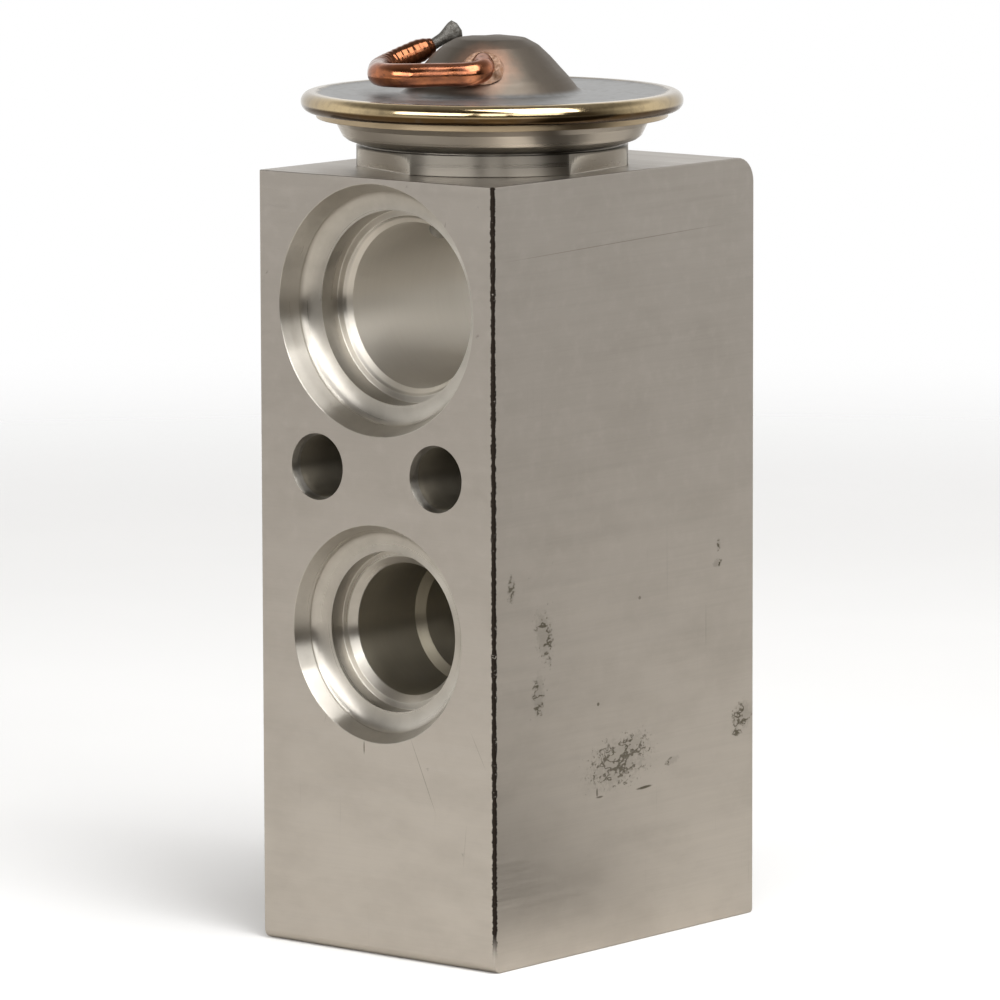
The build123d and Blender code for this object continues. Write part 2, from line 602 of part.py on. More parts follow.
with BuildPart() as tube_braze:
    # a low cone of brazing metal on the dome, round the foot of the tube
    braze_foot = Plane(origin=Vector(tube_exit) - dome_normal * BRAZE_SINK, z_dir=dome_normal)
    with BuildSketch(braze_foot):
        Circle(BRAZE_R)
    with BuildSketch(braze_foot.offset(BRAZE_SINK + BRAZE_HEIGHT)):
        Circle(BRAZE_R - BRAZE_HEIGHT)
    loft()
    add(upper_housing.part, mode=Mode.SUBTRACT)
    with BuildSketch(Plane(origin=route[0], z_dir=tube_path.line % 0)):
        Circle(TUBE_R)
    sweep(path=tube_path.line, mode=Mode.SUBTRACT)
save(tube_braze, "tube_braze")
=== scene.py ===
# %% [markdown]
# # A block expansion valve, finished for its portrait
#
# An expansion valve meters refrigerant. Its body is a bar of aluminium with stepped ports
# turned into it, and on top sits a steel head with a copper charge tube. The machined parts
# come in as a fixed frame. This lesson gives them the surfaces that a workshop leaves:
# milling lines, turned rings, heat colours, scratches and a little dirt.

# %% Load the machined parts
from math import acos, ceil, cos, degrees, pi, radians, sin, tan

import bmesh
import bpy
from mathutils import Matrix, Vector, noise


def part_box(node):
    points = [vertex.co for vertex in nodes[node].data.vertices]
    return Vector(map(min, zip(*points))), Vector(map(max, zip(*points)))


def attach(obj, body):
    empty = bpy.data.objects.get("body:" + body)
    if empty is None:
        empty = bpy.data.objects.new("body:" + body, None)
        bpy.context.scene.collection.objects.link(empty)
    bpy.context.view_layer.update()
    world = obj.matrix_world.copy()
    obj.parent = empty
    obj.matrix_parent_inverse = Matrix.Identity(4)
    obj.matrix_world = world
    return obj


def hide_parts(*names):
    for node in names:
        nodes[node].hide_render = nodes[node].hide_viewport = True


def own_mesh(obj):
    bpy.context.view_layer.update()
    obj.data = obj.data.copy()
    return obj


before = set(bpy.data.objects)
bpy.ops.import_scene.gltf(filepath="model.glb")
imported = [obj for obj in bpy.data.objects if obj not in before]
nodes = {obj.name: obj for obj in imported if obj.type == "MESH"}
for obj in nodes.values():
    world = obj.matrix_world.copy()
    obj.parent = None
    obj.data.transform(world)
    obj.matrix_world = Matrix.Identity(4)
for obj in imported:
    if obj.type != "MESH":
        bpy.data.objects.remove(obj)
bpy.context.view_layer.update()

# %% [markdown]
# ## Working in millimetres
#
# The parts were drawn in millimetres and Blender works in metres. Every size below is
# written in millimetres, as on a drawing, and is turned into metres only where vertices are
# made. All sizes repeat those of the machined parts, so each piece lands where it belongs.

# %% Sizes of the block
MM = 0.001
WIDTH, DEPTH, HEIGHT = 29.5, 40.5, 76.0
AXIS_Y = -2.5
FRONT, BACK = -DEPTH / 2, DEPTH / 2
SUCTION_Z, OUTLET_Z, INLET_Z = 63.2, 31.65, 19.5
SUCTION_R, OUTLET_R, INLET_R, DRILL_R = 8.1, 6.5, 5.2, 5.7
BOLT_Z, BOLT_X, BOLT_R = 47.46, 7.5, 3.05
print("block", WIDTH, "x", DEPTH, "x", HEIGHT, "mm")

# %% [markdown]
# ## Turning profiles on a lathe
#
# Nearly everything here is turned, so the basic tool is a lathe: a half-section is spun
# round an axis. Real corners are never knife sharp. A corner rounded by a tenth of a
# millimetre catches a thin bright line of light, and that line is what makes metal look
# machined. So the half-section's corners are rounded before it is spun.


# %% Round the corners of a half-section
BARELY_TURNS = radians(10)     # corners flatter than this stay as they are


def softened(points, radius, steps=4):
    """Half-section points with each corner but the first and last made a small arc."""
    result = [points[0]]
    for before, corner, after in zip(points, points[1:], points[2:]):
        corner = Vector(corner)
        back, ahead = Vector(before) - corner, Vector(after) - corner
        turn = pi - back.angle(ahead)
        if turn < BARELY_TURNS:
            result.append(tuple(corner))
            continue
        reach = min(radius * tan(turn / 2), back.length * 0.4, ahead.length * 0.4)
        start = corner + back.normalized() * reach
        end = corner + ahead.normalized() * reach
        for step in range(steps + 1):
            t = step / steps
            result.append(tuple(start * (1 - t) ** 2 + corner * 2 * t * (1 - t) + end * t**2))
    result.append(points[-1])
    return result


# %% Spin a half-section into a mesh
LATHE_STEPS = 160


def mesh_object(name, build):
    """New object whose mesh is filled in by the function build(bm)."""
    mesh = bpy.data.meshes.new(name)
    bm = bmesh.new()
    build(bm)
    bmesh.ops.recalc_face_normals(bm, faces=bm.faces)
    bm.to_mesh(mesh)
    bm.free()
    piece = bpy.data.objects.new(name, mesh)
    bpy.context.scene.collection.objects.link(piece)
    return piece


def even_angles(count):
    """Angles spread evenly over a full turn."""
    return [2 * pi * step / count for step in range(count)]


def turned(name, outline, centre, along="z", closed=False, angles=None, shape=None):
    """Spin (radius, height) points in mm about an axis through centre.

    along is z, y or -y. shape(radius, height, angle) may change the radius, as for a flat.
    """
    angles = angles or even_angles(LATHE_STEPS)

    def place(radius, height, angle):
        a, b = radius * cos(angle), radius * sin(angle)
        local = {"z": (a, b, height), "y": (a, height, b), "-y": (a, -height, b)}[along]
        return (Vector(centre) + Vector(local)) * MM

    def build(bm):
        rings = []
        for radius, height in outline:
            if radius < 1e-6:
                rings.append([bm.verts.new(place(0, height, 0))])
                continue
            ring = []
            for angle in angles:
                real = shape(radius, height, angle) if shape else radius
                ring.append(bm.verts.new(place(real, height, angle)))
            rings.append(ring)
        pairs = list(zip(rings, rings[1:])) + ([(rings[-1], rings[0])] if closed else [])
        for low, high in pairs:
            for step in range(len(angles)):
                after = (step + 1) % len(angles)
                corners = []
                for ring, order in ((low, (step, after)), (high, (after, step))):
                    corners += [ring[0]] if len(ring) == 1 else [ring[k] for k in order]
                if len(corners) > 2:
                    bm.faces.new(corners)

    return mesh_object(name, build)


def finish_mesh(piece, sharp):
    """Smooth shading that keeps real corners crisp and flat faces flat."""
    piece.data.shade_smooth()
    piece.data.set_sharp_from_angle(angle=radians(sharp))
    weighted = piece.modifiers.new("even normals", "WEIGHTED_NORMAL")
    weighted.weight = 100
    weighted.keep_sharp = True
    return piece


print("lathe ready,", LATHE_STEPS, "steps round")

# %% [markdown]
# ## Wiring materials
#
# A procedural material is a web of small nodes. Written out, that is long, so this small
# bench adds a node, fills its sockets and hands back what comes out. The shader itself
# always stays in the material. Only masks, heights and colours come from shared groups.


# %% A bench for shader nodes
def fill(tree, sockets, feeds):
    """Join what is a socket and write in what is a plain value."""
    for key, value in dict(feeds).items():
        if isinstance(value, bpy.types.NodeSocket):
            tree.links.new(value, sockets[key])
        else:
            sockets[key].default_value = value


def spaced(feeds):
    """Keyword names as the sockets spell them."""
    return {name.replace("_", " "): value for name, value in feeds.items()}


class Bench:
    """Short ways to add and join the nodes of one tree."""

    def __init__(self, tree):
        self.tree = tree

    def add(self, kind, feeds=(), **settings):
        node = self.tree.nodes.new(kind)
        for name, value in settings.items():
            setattr(node, name, value)
        fill(self.tree, node.inputs, feeds)
        return node

    def math(self, operation, a, b=0.0, c=0.0):
        feeds = {0: a, 1: b, 2: c}
        return self.add("ShaderNodeMath", feeds, operation=operation).outputs[0]

    def plus(self, a, b):
        return self.math("ADD", a, b)

    def minus(self, a, b):
        return self.math("SUBTRACT", a, b)

    def times(self, a, b):
        return self.math("MULTIPLY", a, b)

    def larger(self, a, b):
        return self.math("MAXIMUM", a, b)

    def length(self, a, b):
        """How long the diagonal of a and b is."""
        return self.math("SQRT", self.plus(self.times(a, a), self.times(b, b)))

    def between(self, a, b, operation):
        """One of the vector operations that compare or join two vectors."""
        node = self.add("ShaderNodeVectorMath", {0: a, 1: b}, operation=operation)
        return node.outputs["Value" if operation in ("DISTANCE", "DOT_PRODUCT") else "Vector"]

    def span(self, value, low, high, to_low=0.0, to_high=1.0):
        """Stretch low..high to to_low..to_high, clamped, with soft ends."""
        feeds = {0: value, 1: low, 2: high, 3: to_low, 4: to_high}
        return self.add("ShaderNodeMapRange", feeds, interpolation_type="SMOOTHSTEP").outputs[0]

    def mix(self, factor, a, b):
        feeds = {0: factor, 6: a, 7: b}
        return self.add("ShaderNodeMix", feeds, data_type="RGBA").outputs[2]

    def place(self):
        """Where a point lies on the object, in millimetres."""
        feeds = {0: self.add("ShaderNodeTexCoord").outputs["Object"], 3: 1 / MM}
        return self.add("ShaderNodeVectorMath", feeds, operation="SCALE").outputs[0]

    def split(self, vector):
        return self.add("ShaderNodeSeparateXYZ", {0: vector}).outputs

    def join(self, x, y, z):
        return self.add("ShaderNodeCombineXYZ", {0: x, 1: y, 2: z}).outputs[0]

    def scaled(self, vector, by):
        return self.between(vector, by, "MULTIPLY")

    def noise(self, vector, scale, detail=2.0, roughness=0.5):
        feeds = {"Vector": vector, "Scale": scale, "Detail": detail, "Roughness": roughness}
        return self.add("ShaderNodeTexNoise", feeds).outputs[0]

    def use(self, group, **feeds):
        node = self.add("ShaderNodeGroup", node_tree=group)
        fill(self.tree, node.inputs, spaced(feeds))
        return node.outputs[0]

    def bump(self, height, distance, strength=1.0):
        feeds = {"Height": height, "Distance": distance * MM, "Strength": strength}
        return self.add("ShaderNodeBump", feeds).outputs[0]


def new_group(name, takes, gives, build):
    """A shared node group with named inputs and one named output."""
    tree = bpy.data.node_groups.new(name, "ShaderNodeTree")
    for label, kind, value in takes:
        socket = tree.interface.new_socket(label, in_out="INPUT", socket_type=kind)
        socket.default_value = value
    tree.interface.new_socket(gives, in_out="OUTPUT", socket_type="NodeSocketFloat")
    bench = Bench(tree)
    inward, outward = tree.nodes.new("NodeGroupInput"), tree.nodes.new("NodeGroupOutput")
    tree.links.new(build(bench, inward.outputs), outward.inputs[0])
    return tree


def new_metal(name, metallic=1.0):
    """A material with one Principled shader, and the bench to wire it."""
    material = bpy.data.materials.new(name)
    material.use_nodes = True
    shader = material.node_tree.nodes["Principled BSDF"]
    shader.inputs["Metallic"].default_value = metallic
    return material, shader, Bench(material.node_tree)


def feed(bench, shader, **values):
    """Join colours and values to the shader's sockets by name."""
    fill(bench.tree, shader.inputs, spaced(values))


FLOAT, VECTOR = "NodeSocketFloat", "NodeSocketVector"
print("bench ready")

# %% [markdown]
# ## Effects that several metals share
#
# A milling cutter, a saw and a lathe tool all leave fine parallel lines. Noise stretched
# until it is thirty times longer than wide gives such lines, and one group serves them all:
# its stretch says which way the tool ran. Soft clouds of tarnish and small dark specks are
# groups too. The last group draws one mark, a ragged oval at a given place on a flat face.


# %% Groups: tool lines, clouds, specks and single marks
def build_lines(bench, given):
    """Fine lines with coarser ones among them."""
    vector = bench.scaled(given["Place"], given["Stretch"])
    fine = bench.noise(vector, 1.0, 4.0, 0.65)
    coarse = bench.noise(bench.scaled(vector, (0.31, 0.31, 0.31)), 1.0, 2.0, 0.5)
    return bench.plus(bench.times(fine, 0.65), bench.times(coarse, 0.35))


def build_clouds(bench, given):
    """Soft patches; From and To set how much of the surface they take."""
    cloud = bench.noise(given["Place"], given["Scale"], 4.0, 0.6)
    return bench.span(cloud, given["From"], given["To"])


def build_specks(bench, given):
    """Small ragged dots in a chosen share of the cells."""
    ragged = bench.noise(given["Place"], 1.9, 3.0, 0.6)
    vector = bench.between(given["Place"], bench.join(ragged, ragged, ragged), "ADD")
    feeds = {"Vector": vector, "Scale": given["Scale"], "Randomness": 1.0}
    cell = bench.add("ShaderNodeTexVoronoi", feeds)
    chosen = bench.math("LESS_THAN", bench.split(cell.outputs["Color"])[0], given["Share"])
    return bench.times(chosen, bench.span(cell.outputs["Distance"], given["Size"], 0.0))


def build_mark(bench, given):
    """A turned oval round one place, with a ragged edge."""
    u = bench.minus(given["Across"], given["At across"])
    v = bench.minus(given["Up"], given["At up"])
    c, s = bench.math("COSINE", given["Turn"]), bench.math("SINE", given["Turn"])
    along = bench.plus(bench.times(u, c), bench.times(v, s))
    aside = bench.minus(bench.times(v, c), bench.times(u, s))
    oval = bench.length(bench.math("DIVIDE", along, given["Half length"]),
                        bench.math("DIVIDE", aside, given["Half width"]))
    spot = bench.join(given["Across"], given["Up"], given["At up"])
    edge = bench.minus(bench.noise(spot, 2.6, 4.0, 0.7), 0.5)
    return bench.span(bench.plus(oval, bench.times(edge, given["Ragged"])), 1.15, 0.55)


PLACE = ("Place", VECTOR, (0, 0, 0))
tool_lines = new_group("tool lines", [PLACE, ("Stretch", VECTOR, (1, 1, 1))], "Height", build_lines)
clouds = new_group(
    "tarnish clouds", [PLACE, ("Scale", FLOAT, 0.1), ("From", FLOAT, 0.4), ("To", FLOAT, 0.7)],
    "Mask", build_clouds)
specks = new_group(
    "dark specks", [PLACE, ("Scale", FLOAT, 0.8), ("Share", FLOAT, 0.2), ("Size", FLOAT, 0.2)],
    "Mask", build_specks)
single_mark = new_group(
    "single mark",
    [("Across", FLOAT, 0), ("Up", FLOAT, 0), ("At across", FLOAT, 0), ("At up", FLOAT, 0),
     ("Half length", FLOAT, 1), ("Half width", FLOAT, 1), ("Turn", FLOAT, 0), ("Ragged", FLOAT, 1)],
    "Mask", build_mark)
print("groups:", [group.name for group in bpy.data.node_groups])

# %% [markdown]
# ## The block's outer faces
#
# The bar is drawn, its ends are sawn and the port face is milled. All faces carry fine
# level lines. The side has lain on a bench and in a bin, so it has a trail of pits, a patch
# of dull olive residue and some short scrapes. The upright corner nearest the viewer keeps
# a slightly torn burr from the saw, with a dark painted shadow along it.

# %% Where the marks are
# on the side face: y, z, half length, half width, turn in degrees, raggedness, strength
SIDE_MARKS = [
    (14.4, 36.0, 0.75, 0.45, 10, 1.2, 0.8), (14.6, 37.8, 0.35, 0.6, 0, 1.4, 0.6),
    (18.4, 20.2, 1.6, 1.3, 30, 2.6, 0.6), (17.6, 18.6, 0.9, 0.35, 0, 1.6, 0.6),
    (-1.2, 18.2, 4.6, 2.2, 8, 3.2, 0.55), (0.6, 19.6, 2.4, 0.9, 20, 2.4, 0.6),
    (2.8, 15.1, 1.3, 0.16, 2, 0.5, 1.0), (-4.2, 15.1, 0.6, 0.12, 0, 0.5, 0.8),
    (-4.6, 15.6, 0.14, 0.5, 0, 0.5, 0.8), (7.2, 17.2, 1.2, 0.4, 12, 1.4, 0.6),
    (-4.4, 24.3, 0.22, 0.2, 0, 0.6, 0.8), (2.1, 34.0, 0.25, 0.2, 0, 0.8, 0.6),
    (-17.7, 37.2, 0.6, 1.3, 0, 1.8, 0.55), (-12.7, 32.0, 1.2, 2.6, 15, 2.2, 0.6),
    (-13.6, 26.4, 0.9, 2.0, 0, 2.0, 0.6), (-1.2, 69.2, 18.0, 0.05, 1.6, 0.15, 0.35),
    (12.6, 30.0, 0.05, 2.4, 0, 0.2, 0.3),
]
# on the port face: x, z and then as above
PORT_MARKS = [
    (5.7, 18.6, 4.3, 0.05, -66, 0.15, 0.5), (12.7, 21.6, 2.1, 0.04, -62, 0.15, 0.35),
    (-1.7, 20.4, 0.1, 0.7, 0, 0.3, 0.8), (8.8, 71.9, 0.5, 0.06, 80, 0.2, 0.5),
    (-6.4, 23.6, 1.6, 0.05, 74, 0.2, 0.25), (11.0, 12.0, 2.4, 0.05, 84, 0.2, 0.2),
]
RESIDUE_FROM = 1          # a mark at least this ragged is dried residue, not a scrape
print(len(SIDE_MARKS) + len(PORT_MARKS), "marks")


# %% The milled and sawn finish
def all_marks(bench, marks, across, up, here, veins):
    """Add up single marks on one face; here is 1 on that face. Residue shows as veins."""
    total = None
    for u, v, half_length, half_width, turn, ragged, strength in marks:
        mask = bench.use(single_mark, Across=across, Up=up, At_across=u, At_up=v,
                         Half_length=half_length, Half_width=half_width,
                         Turn=radians(turn), Ragged=ragged)
        mask = bench.times(mask, strength)
        if ragged >= RESIDUE_FROM:
            mask = bench.times(mask, veins)
        total = mask if total is None else bench.larger(total, mask)
    return bench.times(total, here)


SKIN = 0.2                # how near a face counts as on it
METAL_TOP_PAINTED_SHADE, METAL_FOOT_PAINTED_LIGHT = (0.445, 0.41, 0.37, 1), (0.59, 0.55, 0.495, 1)
TARNISH, BLOOM = (0.36, 0.33, 0.29, 1), (0.58, 0.54, 0.50, 1)
HAIR, GROOVE = (0.24, 0.225, 0.21, 1), (0.25, 0.235, 0.22, 1)
RESIDUE, PIT, BURR_SHADOW = (0.10, 0.085, 0.05, 1), (0.12, 0.11, 0.09, 1), (0.030, 0.023, 0.018, 1)

milled, shader, bench = new_metal("milled aluminium")
place = bench.place()
x, y, z = bench.split(place)
on_side = bench.math("GREATER_THAN", x, WIDTH / 2 - SKIN)
on_port = bench.math("LESS_THAN", y, FRONT + SKIN)
on_top = bench.math("GREATER_THAN", z, HEIGHT - SKIN)
level_lines = bench.use(tool_lines, Place=place, Stretch=(0.09, 0.09, 6.0))
top_lines = bench.use(tool_lines, Place=place, Stretch=(0.1, 5.0, 0.1))
lines = bench.plus(bench.times(level_lines, bench.minus(1.0, on_top)),
                   bench.times(top_lines, on_top))
tarnish = bench.use(clouds, Place=bench.scaled(place, (1, 1, 2.2)), Scale=0.11, From=0.35, To=0.75)
bloom = bench.use(clouds, Place=place, Scale=0.6, From=0.45, To=0.8)
hairs = bench.use(tool_lines, Place=place, Stretch=(3.2, 3.2, 0.10))

# residue dries as a tracery of fine dark veins
wrinkle = bench.noise(bench.scaled(place, (1, 1, 1.9)), 0.34, 3.0, 0.6)
veins = bench.span(bench.math("ABSOLUTE", bench.minus(wrinkle, 0.5)), 0.050, 0.012)
veins = bench.math("MULTIPLY_ADD", veins, 1.3, 0.30)
marks = bench.larger(all_marks(bench, SIDE_MARKS, y, z, on_side, veins),
                     all_marks(bench, PORT_MARKS, x, z, on_port, veins))

# a trail of pits runs down the side near the front corner; stray ones are everywhere
trail = bench.times(bench.span(y, -16.5, -14.5), bench.span(y, -10.5, -12.5))
trail = bench.times(trail, bench.times(bench.span(z, 21.0, 26.0), bench.span(z, 44.0, 36.0)))
pits = bench.use(specks, Place=place, Scale=1.5, Share=0.16, Size=0.26)
stray = bench.use(specks, Place=place, Scale=0.45, Share=0.06, Size=0.12)
pits = bench.larger(bench.times(pits, trail), bench.times(stray, 0.7))
hollows = bench.larger(marks, pits)

# the burr and its painted shadow go by the distance from the near upright corner, measured across
# it
from_corner = bench.plus(bench.minus(WIDTH / 2, x), bench.minus(y, FRONT))
torn = bench.noise(bench.scaled(place, (0.4, 0.4, 1.0)), 1.6, 4.0, 0.75)
burr_shadow_width = bench.span(torn, 0.3, 0.7, 0.18, 0.40)
burr_and_shadow = bench.span(bench.minus(from_corner, burr_shadow_width), 0.08, 0.0)
burr_and_shadow = bench.times(burr_and_shadow, bench.span(torn, 0.70, 0.62))
burr_and_shadow = bench.times(burr_and_shadow, bench.span(z, 1.2, 4.0))

# painted light: the block's colour is painted paler towards the bottom, standing in for the pale
# floor it reflects
colour = bench.mix(bench.span(z, 60.0, 0.0), METAL_TOP_PAINTED_SHADE, METAL_FOOT_PAINTED_LIGHT)
for mask, paint in ((bench.times(tarnish, 0.30), TARNISH), (bench.times(bloom, 0.22), BLOOM),
                    (bench.span(hairs, 0.62, 0.80, 0.0, 0.35), HAIR),
                    (bench.times(lines, 0.12), GROOVE), (bench.times(marks, 0.85), RESIDUE),
                    (bench.times(pits, 0.7), PIT), (burr_and_shadow, BURR_SHADOW)):
    colour = bench.mix(mask, colour, paint)
rough = bench.span(lines, 0.3, 0.7, 0.30, 0.42)
rough = bench.plus(rough, bench.times(hollows, 0.25))
rough = bench.plus(rough, bench.times(burr_and_shadow, 0.3))
height = bench.minus(lines, bench.times(hollows, 0.9))
feed(bench, shader, Base_Color=colour, Roughness=rough, Normal=bench.bump(height, 0.012, 0.55))
print("milled aluminium:", len(milled.node_tree.nodes), "nodes")

# %% [markdown]
# ## Turned and drilled surfaces
#
# A port is bored with a form tool in one plunge. It comes out bright, with rings so fine
# that they only stretch the highlights into crescents. The shader is told which way the
# rings run: square to the bore's axis and to the arm from that axis. The tool lines are fed
# depth, distance from the axis and angle instead of the place. Beyond a set depth a painted
# tone takes over: painted shade in the drilled holes and the liquid port, painted light in
# the long suction bore.


# %% Bright bores and dull drillings
def bore_metal(name, colours, rough, centre, deep_from, deep_painted_tone, grooved=True):
    """Turned finish round a level axis, with a painted tone beyond the depth deep_from: darker as
    painted shade in most bores, paler as painted light in the suction bore.
    """
    material, shader, bench = new_metal(name)
    place = bench.place()
    arm = bench.between(place, centre, "SUBTRACT")
    x, y, z = bench.split(arm)
    measure = bench.join(y, bench.length(x, z), bench.math("ARCTAN2", z, x))
    lines = bench.use(tool_lines, Place=measure, Stretch=(4.0, 4.0, 0.25))
    tint = bench.use(clouds, Place=place, Scale=0.35, From=0.3, To=0.8)
    depth = bench.minus(bench.split(place)[1], FRONT)
    # past deep_from the colour turns to a painted tone, painted shade or painted light as each bore
    # is given; the wall there is also rougher
    deep_painted_and_rough = bench.span(depth, deep_from, deep_from + 0.2)
    shine = bench.span(lines, 0.3, 0.7, *rough)
    feed(bench, shader, Base_Color=bench.mix(deep_painted_and_rough, bench.mix(tint, *colours), deep_painted_tone),
         Anisotropic=0.9 if grooved else 0.0, Anisotropic_Rotation=0.25,
         Roughness=bench.plus(shine, bench.times(deep_painted_and_rough, 0.12)),
         Normal=bench.bump(lines, 0.006, 0.4),
         Tangent=bench.between((0, 1, 0), arm, "CROSS_PRODUCT"))
    return material


BRIGHT = ((0.52, 0.49, 0.44, 1), (0.44, 0.415, 0.37, 1))
DULL = ((0.30, 0.27, 0.22, 1), (0.22, 0.20, 0.16, 1))
# painted tones deep in the bores: painted light in the suction bore, painted shade in the liquid
# port and the drilled holes
DEEP_PAINTED_LIGHT, SHADED, DEEP_PAINTED_SHADE = (0.74, 0.70, 0.63, 1), (0.30, 0.27, 0.21, 1), (0.24, 0.215, 0.17, 1)
FORMED, DRILLED, ROUGHED = (0.26, 0.36), (0.28, 0.38), (0.40, 0.50)
BOLT_LEAD_DEPTH, NOWHERE = 0.85, 200.0
bright_suction = bore_metal(
    "turned suction port", BRIGHT, FORMED, (0, FRONT, SUCTION_Z), 5.6, DEEP_PAINTED_LIGHT)
bright_liquid = bore_metal(
    "turned liquid port", BRIGHT, FORMED, (0, FRONT, OUTLET_Z), 4.8, SHADED)
drilled_left = bore_metal(
    "drilled hole left", BRIGHT, DRILLED, (-BOLT_X, FRONT, BOLT_Z), BOLT_LEAD_DEPTH, DEEP_PAINTED_SHADE)
drilled_right = bore_metal(
    "drilled hole right", BRIGHT, DRILLED, (BOLT_X, FRONT, BOLT_Z), BOLT_LEAD_DEPTH, DEEP_PAINTED_SHADE)
inner_walls = bore_metal(
    "drilled chamber", DULL, ROUGHED, (0, AXIS_Y, OUTLET_Z), NOWHERE, DEEP_PAINTED_SHADE, grooved=False)
print("bore finishes:", [m.name for m in bpy.data.materials if m.name != "milled aluminium"])

# %% [markdown]
# ## Cutting the block
#
# The block could be modelled face by face. Cutting it as the shop does is simpler and
# truer: saw a bar, round its edges, then subtract one turned cutter per port with the
# boolean modifier. Each cutter carries its own finish, which the cut surface inherits.
# At its mouth the cutter flares by a tenth of a millimetre, so the rim of the hole comes
# out slightly rounded.


# %% The bar with its rounded edges
def rounded_section(corners, steps=8):
    """Polygon from (y, z, radius) corners, each turned into an arc."""
    result = []
    count = len(corners)
    for index, (cy, cz, radius) in enumerate(corners):
        corner = Vector((cy, cz))
        before = (Vector(corners[index - 1][:2]) - corner).normalized()
        after = (Vector(corners[(index + 1) % count][:2]) - corner).normalized()
        centre = corner + (before + after) * radius
        for step in range(steps + 1):
            angle = pi / 2 * step / steps
            result.append(centre - after * radius * cos(angle) - before * radius * sin(angle))
    return result


SECTION = [(FRONT, 0, 0.9), (BACK, 0, 0.4), (BACK, HEIGHT, 2.5), (FRONT, HEIGHT, 0.12)]
SAWN_EDGE = 0.12


def build_bar(bm):
    outline = rounded_section(SECTION)
    ends = [[bm.verts.new(Vector((x, p.x, p.y)) * MM) for p in outline]
            for x in (-WIDTH / 2, WIDTH / 2)]
    bm.faces.new(ends[0])
    bm.faces.new(ends[1])
    for step in range(len(outline)):
        after = (step + 1) % len(outline)
        bm.faces.new((ends[0][step], ends[0][after], ends[1][after], ends[1][step]))
    bmesh.ops.recalc_face_normals(bm, faces=bm.faces)
    rims = [edge for edge in bm.edges
            if abs(edge.verts[0].co.x - edge.verts[1].co.x) < 1e-7]
    bmesh.ops.bevel(bm, geom=rims, offset=SAWN_EDGE * MM, segments=2, affect="EDGES", profile=0.5)


bar = mesh_object("block_body", build_bar)
bar.data.materials.append(milled)
print("bar:", len(bar.data.polygons), "faces")

# %% The cutters
FLARE = 0.1
OVERSHOOT = 1.0           # how far a cutter stands out of the face
# over the bore's radius: shoulder, sleeve, lead-in, mouth
FRONT_STEPS, BACK_STEPS = (0.7, 1.38, 3.4, 4.1), (0.5, 1.0, 1.7, 2.1)
# depths where the lead-in ends, the sleeve starts and the sleeve ends
SUCTION_DEPTHS, LIQUID_DEPTHS = (2.0, 3.1, 5.45), (1.5, 2.4, 4.1)


def port_outline(bore_r, steps, depths, tail):
    """Half-section of a stepped port, from outside the face inwards."""
    shoulder, sleeve, lead, mouth = [bore_r + step for step in steps]
    lead_end, sleeve_start, sleeve_end = depths
    slope = (mouth - lead) / lead_end
    flare = [(mouth + FLARE * (1 - sin(t)), FLARE * (1 - cos(t))) for t in
             (0, pi / 8, pi / 4, 3 * pi / 8, pi / 2 - slope)]
    # the seat starts straight inwards and curls over until it faces out
    seat = [(sleeve + (lead - sleeve) * cos(t), lead_end + (sleeve_start - lead_end) * sin(t))
            for t in (pi / 2 * step / 10 for step in range(11))]
    wall = [(sleeve, sleeve_end), (shoulder, sleeve_end),
            (bore_r, sleeve_end + shoulder - bore_r)] + tail
    start = [(0, -OVERSHOOT), (mouth + FLARE, -OVERSHOOT)]
    edge = softened([flare[-1], seat[0], seat[1]], 0.35, 4)[1:-1]
    return start + flare + edge + seat[1:-1] + softened([seat[-1]] + wall, 0.12, 8)


OUTLET_END, DRILL_PAST_AXIS, SUCTION_CUT = 13.4, 2.1, 24.0
drill_end = AXIS_Y - FRONT + DRILL_PAST_AXIS
suction_tail = [(SUCTION_R, SUCTION_CUT), (0, SUCTION_CUT)]
outlet_tail = [(OUTLET_R, OUTLET_END), (DRILL_R, OUTLET_END + OUTLET_R - DRILL_R),
               (DRILL_R, drill_end), (0, drill_end + DRILL_R / 2)]
inlet_tail = [(INLET_R, BACK - AXIS_Y), (0, BACK - AXIS_Y)]
cutters = [
    (port_outline(SUCTION_R, FRONT_STEPS, SUCTION_DEPTHS, suction_tail),
     (0, FRONT, SUCTION_Z), "y", bright_suction),
    (port_outline(SUCTION_R, BACK_STEPS, SUCTION_DEPTHS, suction_tail),
     (0, BACK, SUCTION_Z), "-y", bright_suction),
    (port_outline(OUTLET_R, FRONT_STEPS, LIQUID_DEPTHS, outlet_tail),
     (0, FRONT, OUTLET_Z), "y", bright_liquid),
    (port_outline(INLET_R, BACK_STEPS, LIQUID_DEPTHS, inlet_tail),
     (0, BACK, INLET_Z), "-y", bright_liquid),
]
BOLT_MOUTH_R = BOLT_R + 0.22
hole = [(0, -OVERSHOOT), (BOLT_MOUTH_R, -OVERSHOOT), (BOLT_MOUTH_R, 0), (BOLT_R, BOLT_LEAD_DEPTH),
        (BOLT_R, DEPTH - BOLT_LEAD_DEPTH), (BOLT_MOUTH_R, DEPTH),
        (BOLT_MOUTH_R, DEPTH + OVERSHOOT), (0, DEPTH + OVERSHOOT)]
for side, finish in ((-BOLT_X, drilled_left), (BOLT_X, drilled_right)):
    cutters.append((hole, (side, FRONT, BOLT_Z), "y", finish))

